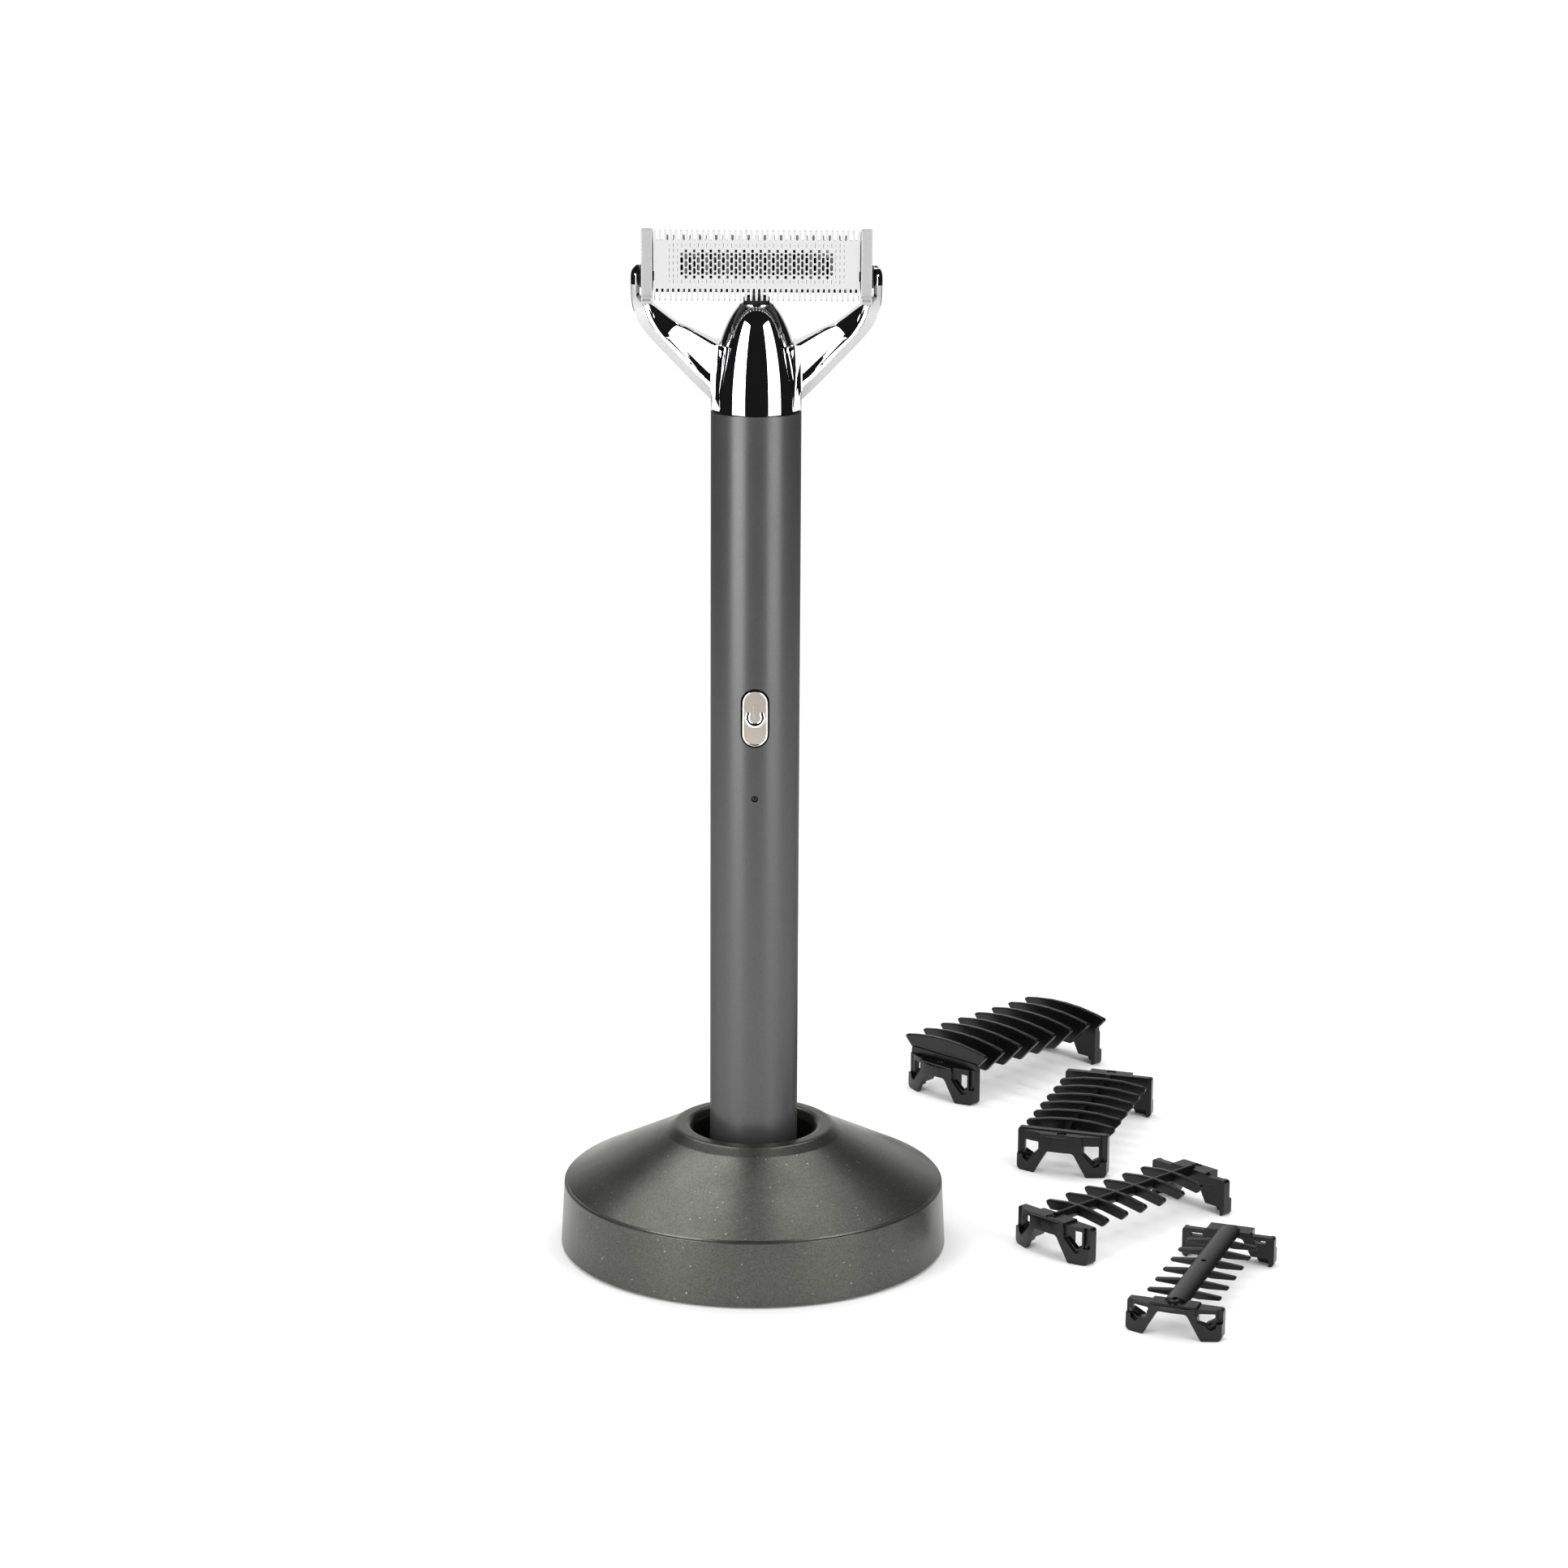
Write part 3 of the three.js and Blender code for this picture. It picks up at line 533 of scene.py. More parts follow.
def handle_tube():
    """Anodised barrel with the button's window and the charge light's hole."""
    top = SEAM_Z - SEAM_GAP
    profile = [
        (TUBE_R - 0.3, TUBE_LOW), (TUBE_R, TUBE_LOW + 0.3), (TUBE_R, top - 0.12),
        (TUBE_R - 0.04, top - 0.03), (TUBE_R - 0.13, top), (TUBE_BORE_R, top), (TUBE_BORE_R, TUBE_LOW)]
    tube = lathe("handle_barrel", profile, 256, 30)
    opening = pill(BUTTON_HALF_WIDTH + BUTTON_GAP, BUTTON_HALF_HEIGHT + BUTTON_GAP, BUTTON_Z, 32)
    window = prism("window", opening, *FRONT_CUT, "Y")
    light = prism("light", circle(0, LIGHT_Z, LIGHT_HOLE_R), *FRONT_CUT, "Y")
    return round_normals(cut(tube, [window, light]), TUBE_R)


def led_lens():
    """Small domed lens in the charge light's hole."""
    steps = ((0.5, -6.9), (0.5, -7.75), (0.44, -7.86), (0.3, -7.94), (0.12, -7.98))
    return layered("charge_light_lens", [(circle(0, LIGHT_Z, radius), y) for radius, y in steps])


def button_layers(name, steps):
    """A part of the button built up from pills, each with its inset from the button's edge and its y."""
    layers = []
    for inset, y in steps:
        layers.append((pill(BUTTON_HALF_WIDTH - inset, BUTTON_HALF_HEIGHT - inset, BUTTON_Z), y))
    return layered(name, layers, 60)


def button_rim():
    """Bright bevelled rim around the button's face."""
    steps = ((0, -7.1), (0, -7.98), (0.05, -8.12), (0.14, -8.2), (0.25, -8.22), (0.34, -8.16), (0.42, -8.02))
    return button_layers("power_button_rim", steps)


def button_face():
    """Satin face inside the rim."""
    steps = ((FACE_INSET, -7.8), (FACE_INSET, -8.03), (FACE_INSET + 0.04, -8.07), (FACE_INSET + 0.1, -8.08))
    return button_layers("power_button_face", steps)


def power_ring():
    """Raised open ring of the power symbol: a domed band swept round, open at the top."""
    arc, sections = 44, []
    for i in range(arc + 1):
        share = i / arc
        angle = math.radians(RING_START - RING_TURN * share)
        from_end = min(share, 1 - share) * arc
        size = min(1.0, 0.35 + 0.25 * from_end)
        section = []
        for k in range(13):
            around = math.pi * k / 12
            radius = RING_R + RING_HALF_WIDTH * size * math.cos(around)
            y = -TUBE_R - 0.23 * size * math.sin(around)
            z = BUTTON_Z + RING_LIFT + radius * math.sin(angle)
            section.append((radius * math.cos(angle), y, z))
        sections.append(section)
    return loft("power_symbol_ring", sections, 60)


def power_bar():
    """Upright bar of the power symbol."""
    layers = []
    for inset, height in ((0.0, 0.0), (0.0, 0.16), (0.05, 0.22), (0.14, 0.25)):
        outline = pill(BAR_HALF_WIDTH - inset, BAR_HALF_HEIGHT - inset, BUTTON_Z + BAR_LIFT, 10)
        layers.append((outline, -TUBE_R - height))
    return layered("power_symbol_bar", layers, 60)


def nose_radius(z):
    """Radius of the ogive at a height."""
    return TUBE_R * math.sqrt(max(0.0, 1 - ((z - SEAM_Z) / NOSE_LENGTH) ** 2))


def nose_shell():
    """Chromed ogive nose with a fine ring at the seam and a thin rolled rim at the top."""
    start = SEAM_Z + SEAM_GAP
    low, high = start + 0.14, NOSE_TOP - 0.3
    profile = [(5.7, SPIGOT_LOW), (SPIGOT_R, SPIGOT_LOW), (SPIGOT_R, start), (TUBE_R, start)]
    steps = 72
    for i in range(1, steps + 1):
        z = low + (high - low) * (i / steps) ** 0.9
        profile.append((nose_radius(z), z))
    profile += [(3.03, NOSE_TOP - 0.12), (3.0, NOSE_TOP), (2.86, NOSE_TOP - 0.02),
                (2.66, NOSE_TOP - 0.1), (NOSE_BORE_R, high)]
    for i in reversed(range(9)):
        z = start + (NOSE_TOP - 1 - start) * i / 8
        profile.append((max(nose_radius(z) - 1.1, NOSE_BORE_R), z))
    return lathe("nose_chromed", profile, 256, 40)


# ------------------------ yoke arms

# Left yoke arm in (x, z): the strap's outer edge from the tip down, its inner edge back up, the web's top.
STRAP_OUTER = [
    (-20.95, 180.2), (-21.75, 179.4), (-21.98, 178.2), (-21.95, 176.0), (-21.9, 174.5), (-21.58, 172.5),
    (-20.88, 170.4), (-19.75, 168.65), (-18.12, 166.8), (-14.87, 163.4), (-11.6, 160.0), (-7.6, 156.1)]
STRAP_INNER = [
    (-7.2, 158.2), (-9.96, 160.8), (-13.24, 164.2), (-16.5, 167.5), (-18.13, 169.8), (-18.85, 171.4),
    (-19.3, 173.1), (-20.1, 174.5), (-20.45, 175.6), (-20.45, 178.2), (-20.45, 180.2)]
WEB_TOP = [
    (-6.0, 166.3), (-7.0, 166.75), (-9.2, 167.9), (-11.6, 169.15), (-13.7, 170.1), (-15.2, 171.1),
    (-16.5, 172.1), (-18.3, 173.4), (-19.2, 173.2)]

# Cross sections of the strap and the web: share of the way across, and depth in front of the middle.
STRAP_SECTION = [
    (0.0, 0.9), (0.015, 1.16), (0.04, 1.32), (0.07, 1.41), (0.1, 1.46), (0.35, 1.76), (0.6, 2.06),
    (0.63, 2.08), (0.66, 2.05), (0.98, 1.2), (1.0, 1.15)]
WEB_SECTION = [(0.0, 0.6), (0.3, 0.95), (0.6, 1.35), (0.9, 1.75), (0.95, 1.78), (0.98, 1.72), (1.0, 1.55)]

STRAP_LEDGE = 1.0
STRAP_STEPS = 90
TIP_INNER_X = 20.45
TIP_LOW = 175.0
TIP_R = 2.2
TIP_CENTRE = 178.0
WEB_STEPS = 60
WEB_FLAT_FROM = 0.5
WEB_FLAT_DEPTH = 1.9
WEB_RISE = 1.7
EAR_LOW = 155.1
EAR_INNER_X = 6.45
NOSE_OVERLAP = 0.4
SATIN_WIDTH = 1.75
SATIN_TOP = 177.0


def smooth_line(points, steps=6):
    """Points along a Catmull-Rom curve through an open polyline."""
    line = [np.array(p, float) for p in points]
    line = [2 * line[0] - line[1]] + line + [2 * line[-1] - line[-2]]
    result = []
    for i in range(1, len(line) - 2):
        a, b, c, d = line[i - 1:i + 3]
        square = 2 * a - 5 * b + 4 * c - d
        cube = 3 * b - a - 3 * c + d
        for k in range(steps):
            t = k / steps
            result.append(tuple(0.5 * (2 * b + (c - a) * t + square * t * t + cube * t ** 3)))
    result.append(tuple(line[-2]))
    return result


def resample(points, count):
    """Points evenly spaced along a polyline."""
    line = np.array(points, float)
    along = np.concatenate([[0.0], np.cumsum(np.linalg.norm(np.diff(line, axis=0), axis=1))])
    marks = np.linspace(0, along[-1], count)
    return np.stack([np.interp(marks, along, line[:, k]) for k in (0, 1)], axis=1)


def widened(curve, distance):
    """A curve in (x, z) moved sideways, to its right as it runs."""
    way = np.gradient(curve, axis=0)
    way /= np.linalg.norm(way, axis=1)[:, None]
    return curve + distance * np.stack([way[:, 1], -way[:, 0]], axis=1)


def web_section(along):
    """The web's section at a share of its length: deeper towards the nose, flat towards the tip."""
    level = min(1.0, max(0.0, (along - WEB_FLAT_FROM) / 0.14))
    flatness = level * level * (3 - 2 * level)
    lift = WEB_RISE * max(0.0, 1 - along / WEB_FLAT_FROM)
    section = []
    for share, depth in WEB_SECTION:
        growth = (WEB_FLAT_DEPTH - depth) * flatness + lift
        section.append((share, depth + growth * min(1.0, share / 0.25)))
    return section


def arm_bar(name, near, far, section_at, side):
    """A bar between two edge curves in (x, z), alike in front and behind.

    section_at gives the cross section at a share of the bar's length.
    """
    rings = []
    for k, (a, b) in enumerate(zip(near, far)):
        front = [(a + (b - a) * share, depth) for share, depth in section_at(k / len(near))]
        ring = [(point, -depth) for point, depth in front]
        ring += [(point, depth) for point, depth in reversed(front)]
        rings.append([(-side * point[0], depth, point[1]) for point, depth in ring])
    return loft(name, rings, 50)


def collar_ear(side):
    """Upright block that carries the arm beside the nose: a narrow, leaning face, rounded at its top."""
    plan = [(EAR_INNER_X, -5.0), (TUBE_R, -4.36), (TUBE_R, 4.36), (EAR_INNER_X, 5.0)]
    ear = prism("ear", [(side * x, y) for x, y in plan], EAR_LOW, 167.5, "Z")
    front = rounded([(6.0, EAR_LOW), (8.2, EAR_LOW), (8.02, 166.4, 1.0), (6.0, 166.9)], steps=8)
    shape = prism("shape", [(side * x, z) for x, z in front], -8, 8, "Y")
    flare = [(TUBE_R, EAR_LOW), (8.15, 155.8), (8.6, 157.2), (9.3, 159.5), (9.3, 168)]
    sleeve = lathe("sleeve", [(0, EAR_LOW)] + flare + [(0, 168)], 96)
    boolean(ear, [shape, sleeve], "INTERSECT")
    return soften(ear, 0.16)


def arm_strap(side):
    """The strap from the nose to the arm's rounded tip, and its outer edge curve."""
    outer = resample(smooth_line(STRAP_OUTER), STRAP_STEPS)
    inner = widened(resample(smooth_line(STRAP_INNER)[::-1], STRAP_STEPS), -STRAP_LEDGE)
    clear_of_head = -TIP_INNER_X + np.maximum(0.0, TIP_LOW - inner[:, 1]) * 1.5
    inner[:, 0] = np.minimum(inner[:, 0], clear_of_head)
    name = "left" if side < 0 else "right"
    strap = arm_bar(f"yoke_arm_chromed_{name}", outer, inner, lambda along: STRAP_SECTION, side)
    angles = [math.pi * k / 24 for k in range(25)]
    tip = [(TIP_R * math.cos(a), TIP_CENTRE + TIP_R * math.sin(a)) for a in angles]
    outline = [(4, TIP_CENTRE)] + tip + [(-4, TIP_CENTRE), (-4, 150), (4, 150)]
    boolean(strap, [prism("tip", outline, side * 6, side * 23, "X")], "INTERSECT")
    return strap, outer


def arm_web(side):
    """The web in the corner between the strap and the nose."""
    low = resample(smooth_line(STRAP_INNER[:8]), WEB_STEPS)
    high = resample(smooth_line(WEB_TOP), WEB_STEPS)
    return arm_bar("web", widened(low, 0.4)[:-2], high[:-2], web_section, side)


def yoke_arm(side):
    """Chromed arm: a strap whose face leans outwards, a web in its corner and the collar ear on the nose."""
    arm, outer = arm_strap(side)
    boolean(arm, [arm_web(side), collar_ear(side)], "UNION")
    heights = [155 + 18.5 * i / 20 for i in range(21)]
    core = [(nose_radius(z) - NOSE_OVERLAP, z) for z in heights]
    hollow = lathe("hollow", [(0.0, 150.0), (7.5, 150.0)] + core + [(0.0, NOSE_TOP)], 96)
    bearing = prism("bearing", circle(0, PIVOT_Z, PIVOT_HOLE_R), side * 19.9, side * 21.5, "X")
    cut(arm, [hollow, bearing])
    shade(arm.data, 32)
    mark_strap_face(arm, outer, side)
    return arm


def mark_strap_face(arm, outer, side):
    """Chrome all over, with a satin finish on the strap's leaning face, in front and behind."""
    arm.data.materials.clear()
    arm.data.materials.append(MATERIALS["chrome"])
    arm.data.materials.append(MATERIALS["satin_strap"])
    for face in arm.data.polygons:
        centre = face.center / MM
        place = np.array([-side * centre.x, centre.z])
        off_edge = np.min(np.linalg.norm(outer - place, axis=1))
        if abs(face.normal.y) > 0.75 and off_edge < SATIN_WIDTH and centre.z < SATIN_TOP:
            face.material_index = 1


# ------------------------ pivoting head

BLADE_HALF_WIDTH = 17.8
BLADE_LOW = 174.4
BLADE_HIGH = 186.6
BLADE_FRONT = -4.2
BLADE_BACK = -3.8
TOOTH_PITCH = 0.934
TOOTH_GAPS = 38
TOOTH_DOT_Z = 174.58
TOOTH_DOT_R = 0.085
SLOT_PITCH = 0.722
SLOT_HALF_WIDTH = 0.25
DASH_HALF_WIDTH = 0.035
SLOT_COLUMNS = 18
DASH_COLUMNS = 21
SLOTS_EVEN = ((182.47, 0.29), (181.46, 0.54), (180.17, 0.54), (179.14, 0.29))
SLOTS_ODD = ((183.02, 0.29), (182.04, 0.54), (180.79, 0.54), (179.56, 0.54), (178.52, 0.29))
DASHES_EVEN = ((184.0, 0.36), (177.75, 0.36))
DASHES_ODD = ((184.05, 0.12), (177.75, 0.12))
DASHES_BESIDE = tuple((z, 0.3) for z in (178.7, 179.8, 180.9, 182.0, 183.1))
CUTTER_FRONT = -3.5
CUTTER_BACK = -3.15
CUTTER_GAPS = 22
CUTTER_GAP_PITCH = 1.213
CUTTER_GAP_SHIFT = -0.2595
TRAY_HALF_WIDTH = 17.75
CAP_INNER = 18.1
CAP_OUTER = 20.05


def toothed(half_width, low, high, pitch, gaps, lower, upper):
    """Blade outline in (x, z). lower and upper hold the gaps' depth and half widths at tip and root."""
    places = centred(gaps, pitch)
    depth, tip, root = lower
    land = pitch / 2 - tip - 0.002
    points = [(-half_width, low, 0.1)]
    for x in places:
        points += [(x - tip, low, land), (x - root, low + depth, root * 0.95)]
        points += [(x + root, low + depth, root * 0.95), (x + tip, low, land)]
    points += [(half_width, low, 0.1), (half_width, high, 0.25)]
    depth, tip, root = upper
    for x in reversed(places):
        points += [(x + tip, high, 0.14), (x + root, high - depth, root * 0.95)]
        points += [(x - root, high - depth, root * 0.95), (x - tip, high, 0.14)]
    points.append((-half_width, high, 0.25))
    return rounded(points, steps=4)


def slot_field():
    """Outlines of the fixed blade's slots, and of the fine dashes above, below and beside them."""
    slots, dashes = [], []
    for i in range(-DASH_COLUMNS, DASH_COLUMNS + 1):
        x = i * SLOT_PITCH
        even = i % 2 == 0
        marks = DASHES_EVEN if even else DASHES_ODD
        if abs(i) <= SLOT_COLUMNS:
            column = SLOTS_EVEN if even else SLOTS_ODD
            slots += [pill(SLOT_HALF_WIDTH, half, z, 6, x) for z, half in column]
        else:
            marks += DASHES_BESIDE
        dashes += [pill(DASH_HALF_WIDTH, half, z, 2, x) for z, half in marks]
    return slots, dashes


def fixed_blade():
    """Thin toothed plate, its slot field cut through and fine dashes scored around it."""
    size = (BLADE_HALF_WIDTH, BLADE_LOW, BLADE_HIGH)
    outline = toothed(*size, TOOTH_PITCH, TOOTH_GAPS, (2.1, 0.29, 0.19), (1.65, 0.24, 0.2))
    plate = prism("blade_plate", outline, BLADE_FRONT, BLADE_BACK, "Y", 30)
    bevel(plate, 0.05, 2, 50, 45)
    slots, dashes = slot_field()
    tips = [circle(x, TOOTH_DOT_Z, TOOTH_DOT_R, 10) for x in centred(TOOTH_GAPS - 1, TOOTH_PITCH)]
    cutters = [
        prisms("slots", slots, -5, -3, "Y"),
        prisms("dashes", dashes, BLADE_FRONT - 0.1, BLADE_FRONT + 0.07, "Y"),
        prisms("tips", tips, BLADE_FRONT - 0.1, BLADE_FRONT + 0.08, "Y"),
    ]
    return flat_normals(cut(two_finishes(plate, cutters), cutters))


def two_finishes(blade, cutters):
    """Ground flats in front and behind, darker polished steel on every edge and cut wall."""
    blade.data.materials.append(MATERIALS["blade_steel"])
    for piece in (blade, *cutters):
        piece.data.materials.append(MATERIALS["blade_edge"])
    for face in blade.data.polygons:
        face.material_index = 0 if abs(face.normal.y) > 0.97 else 1
    return blade


def moving_blade():
    """Coarser toothed plate behind the fixed blade, with long gaps between its cutting bars."""
    outline = toothed(16.0, 175.95, 185.75, 1.42, 22, (1.15, 0.44, 0.42), (1.4, 0.4, 0.38))
    blade = prism("blade_moving", outline, CUTTER_FRONT, CUTTER_BACK, "Y", 30)
    places = [x + CUTTER_GAP_SHIFT for x in centred(CUTTER_GAPS, CUTTER_GAP_PITCH)]
    gaps = [pill(0.365, 3.05, 180.75, 4, x) for x in places]
    cutters = [prisms("gaps", gaps, -4, -2, "Y")]
    return flat_normals(cut(two_finishes(blade, cutters), cutters))


def head_tray():
    """Black tray behind the blades, open to the front, with the way in for the drive lever."""
    outer = rounded([
        (-2.4, 175.65, 0.2), (3.3, 175.75, 0.5), (4.1, 178, 3), (4.33, 180.6, 6), (4.1, 183.2, 1),
        (3.3, 184.2, 0.5), (-2.4, 184.4, 0.2)])
    tray = prism("head_tray", outer, -TRAY_HALF_WIDTH, TRAY_HALF_WIDTH, "X", 30)
    bevel(tray, 0.25, 2, 50, 45)
    hollow = prism("hollow", rectangle(-3, 2.6, 176.75, 183.75), -16.6, 16.6, "X")
    lever_way = prism("lever_way", rectangle(-2.7, 2.7, -1.9, 1.9), 175, 177.2, "Z")
    pins = [prism("pin", circle(0, PIVOT_Z, PIVOT_HOLE_R), a, b, "X") for a, b in ((-19, -16), (16, 19))]
    return settle(cut(tray, [hollow, lever_way] + pins))


def end_cap(side):
    """Satin end cap: flat front, rounded foot below with a small recess, humped back."""
    name = "left" if side < 0 else "right"
    profile = rounded([
        (-4.6, 175.3, 0.25), (-5.2, 175.15, 0.35), (-5.2, 173.9, 0.3), (-3.5, 173.9, 0.3),
        (-3.1, 175.3, 0.4), (3.2, 175.4, 0.6), (4.2, 176.4, 1.5), (4.5, 180.6, 6), (4.1, 184.2, 2),
        (2.8, 185.7, 1.2), (-3.6, 186.9, 0.8), (-4.6, 186.85, 0.25)])
    cap = prism(f"end_cap_{name}", profile, side * CAP_INNER, side * CAP_OUTER, "X", 30)
    bevel(cap, 0.22, 3, 50, 45)
    slit = rounded(rectangle(side * (CAP_OUTER - 0.25), side * (CAP_INNER + 0.3), 174.45, 174.82), 0.12)
    mark = prism("mark", slit, -5.6, -4.95, "Y")
    hole = prism("hole", circle(0, PIVOT_Z, PIVOT_HOLE_R), side * 17, side * 21, "X")
    return settle(cut(cap, [mark, hole]))


# ------------------------ comb guides

FINS = 6
FIN_PITCH = 5.3
END_INNER = 18.05
END_OUTER = 19.35
RIM_OUTER = 19.6
BOW_PEAK = 22.25
BOW_EDGE = 20.22
BOW_HALF = 8.95
LINTEL_HIGHEST = 6.2
WINDOW_EDGE_Y = 7.7
ARCH = [(-5.2, 0.0, 0.5), (-2.6, 4.8, 0.9), (2.6, 4.8, 0.9), (5.2, 0.0, 0.5)]

# half and band are the half width and the height of a guide's ends, block the block's height and half width,
# spine the rib's low and high edges and half width, and fin half a fin's (y, z) from the middle outwards.
COMBS = {
    "comb_long": dict(
        x=52.7, y=98.4, turn=44.8, half=8.95, band=8.6, block=(7.3, 4.3), spine=(5.6, 7.2, 0.8),
        fin=[(0, 11.9), (4, 11.75), (8, 11.25), (10.7, 10.75), (11.15, 10.4), (10.8, 9.9), (6.5, 5.5),
             (0, 5.5)]),
    "comb_medium": dict(
        x=66.2, y=56.3, turn=71.6, half=8.95, band=8.3, block=(8.1, 4.3), spine=(5.8, 7.6, 0.8),
        fin=[(0, 9), (4, 8.8), (8.3, 8.1), (8.9, 7.7), (8.8, 7.1), (7.5, 5.8), (0, 5.8)]),
    "comb_short": dict(
        x=69.4, y=6.8, turn=43.6, half=8.95, band=7.0, block=(7.4, 4.1), spine=(5.8, 7.9, 0.8),
        fin=[(0, 7.9), (2.5, 7.8), (7.1, 7.1), (7.6, 6.7), (7.3, 6.2), (6.4, 5.3), (1.6, 5.9), (0, 5.9)]),
    "comb_bare": dict(
        x=80.3, y=-27.9, turn=69.4, half=8.62, band=5.6, block=(6.0, 4.1), spine=(4.7, 6.7, 2.1),
        fin=[(0, 5.9), (2.5, 5.9), (6.4, 5.5), (6.8, 5.2), (6.4, 4.8), (2.5, 4.6), (0, 4.8)]),
}


def bow(side, inset, reach, steps=20):
    """Points (x, y) along the bowed outer face of a guide's end."""
    points = []
    for i in range(steps + 1):
        y = reach * (2 * i / steps - 1)
        points.append((side * (BOW_PEAK - inset - (BOW_PEAK - BOW_EDGE) * (y / BOW_HALF) ** 2), y))
    return points


def across(points, turn, radius=0.0):
    """A rounded outline in (y, z), on one side of the guide's middle."""
    return rounded([(turn * y, *others) for y, *others in points], radius, 4)


def leg_outline(half, band, block_top, block_half):
    """Outline of a guide's end in (y, z): two legs, the arch between them and the block above it."""
    raised = []
    if block_top > band:
        shoulder = block_half + 0.3
        raised = [(shoulder, band), (block_half, block_top), (-block_half, block_top), (-shoulder, band)]
    points = [(-half, 0.0, 0.9), *ARCH, (half, 0.0, 0.9), (half, band, 0.5)]
    points += [(y, z, 0.2) for y, z in raised]
    return rounded(points + [(-half, band, 0.5)])


def comb_end(style, side):
    """One end of a guide: a plate, open or pocketed each side of a thick block, on two cupped legs."""
    half, band = style["half"], style["band"]
    block_top, block_half = style["block"]
    near, far = side * END_INNER, side * BOW_PEAK
    end = prism("leg", leg_outline(half, band, block_top, block_half), near, far + side, "X")
    plan = prism("plan", [(near, -half)] + bow(side, 0, half) + [(near, half)], -1, 20, "Z")
    top = max(band, block_top) + 1
    crown = rounded([
        (side * 17, -1), (far, -1), (far, block_top, 0.9), (side * END_OUTER, block_top),
        (side * END_OUTER, top), (side * 17, top)], steps=6)
    boolean(end, [plan, prism("crown", crown, -10, 10, "Y")], "INTERSECT")
    cut(end, end_cuts(style, side))
    hook = [(5.4, 1.9), (8.2, 1.9), (8.2, 3.9), (7.4, 3.7), (5.5, 2.6)]
    reach = side * (END_OUTER + 0.3)
    hooks = [prism("hook", [(turn * y, z) for y, z in hook], near, reach, "X") for turn in (-1, 1)]
    boolean(end, hooks, "UNION")
    return soften(end, 0.14)


def end_cuts(style, side):
    """What is cut from one end: the cup under it, the ejector's mark, the rims' steps and the windows."""
    band = style["band"]
    block_top, block_half = style["block"]
    behind = side * (END_INNER - 1)
    inside = style["half"] - 1
    hollow = [(behind, -inside)] + bow(side, 1, inside) + [(behind, inside)]
    cuts = [
        prism("hollow", hollow, -1, 1.6, "Z"),
        prism("ejector", circle(side * 20.5, 0, 1.0, 28), block_top - 0.22, 20, "Z"),
    ]
    lintel = min(LINTEL_HIGHEST, band - 0.75)
    windows = open_windows if side < 0 else closed_pockets
    for turn in (-1, 1):
        rim = [(turn * y, z) for y, z in rectangle(WINDOW_EDGE_Y, 10, 3.2, 20)]
        cuts.append(prism("rim", rim, side * RIM_OUTER, side * 30, "X"))
        cuts += windows(turn, block_half, lintel, band)
    return cuts


def open_windows(turn, block_half, lintel, band):
    """Cuts for one leg of the latch end: a shallow recess, a window in it, and the room behind the skin."""
    recess = across([
        (block_half, 20), (WINDOW_EDGE_Y, 20), (WINDOW_EDGE_Y, 2.5, 0.4), (6.7, 2.0, 0.4),
        (block_half, 4.9, 0.5)], turn)
    face = prism("recess", recess, -30, -END_INNER, "X")
    behind, reach = 1 - END_INNER, 9.5
    skin = [(x + 0.7, y) for x, y in bow(-1, 0, reach)]
    keep = prism("keep", [(behind, -reach)] + skin + [(behind, reach)], -5, 25, "Z")
    cut(face, [keep])
    corners = [(4.5, lintel), (7.35, lintel), (7.35, 3.3), (6.4, 2.7), (4.5, lintel - 1.5)]
    window = prism("window", across(corners, turn, 0.2), -30, -10, "X")
    room = [(x + 1.7, y) for x, y in bow(-1, 0, 7.9) if 3.9 <= turn * y]
    room = [(-10, turn * 3.9), (-10, turn * 7.9)] + room[::-turn]
    return [face, window, prism("room", room, 1.6, min(lintel + 0.1, band - 0.6), "Z")]


def closed_pockets(turn, block_half, lintel, band):
    """Cuts for one leg of the plain end: a deep pocket, and on the lowest guide a narrow slot through it."""
    pocket = across([
        (block_half, 20), (WINDOW_EDGE_Y, 20), (WINDOW_EDGE_Y, 2.7, 0.3), (6.8, 2.2, 0.3),
        (block_half, 4.6, 0.4)], turn)
    cuts = [prism("pocket", pocket, END_OUTER, 30, "X")]
    if band < 6:
        slot = across(rectangle(4.8, 7.0, lintel, lintel - 0.6), turn, 0.1)
        cuts.append(prism("slot", slot, 10, 30, "X"))
    return cuts


def comb_fin(style, x, thickness=1.0):
    """One fin across a guide."""
    half = style["fin"]
    full = half + [(-y, z) for y, z in reversed(half[1:-1])]
    radii = [3.0] + [0.35] * (len(half) - 2) + [0.0] + [0.35] * (len(half) - 2)
    outline = rounded([(y, z, radius) for (y, z), radius in zip(full, radii)], steps=4)
    fin = prism("fin", outline, x - thickness / 2, x + thickness / 2, "X")
    return bevel(fin, 0.2, 3, 50, 50)


def ramp(x):
    """Small wedge on the centre rib, between two fins."""
    outline = [(x - 2.4, 6.5), (x + 2.4, 6.5), (x + 2.4, 8.3), (x + 1.4, 8.3), (x - 1.2, 7.4)]
    return prism("ramp", outline, -0.45, 0.45, "Y")


def dome():
    """Rounded end of the bare guide's broad spine, where it meets the block."""
    angles = [math.pi / 2 * k / 8 for k in range(8)]
    steps = [(1.9 * math.cos(a), 5.2 + 1.5 * math.sin(a)) for a in angles]
    end = lathe("dome", [(0.0, 5.0), (1.9, 5.0)] + steps + [(0.0, 6.7)], 32)
    end.data.transform(Matrix.Translation((-19.4 * MM, 0, 0)))
    return end


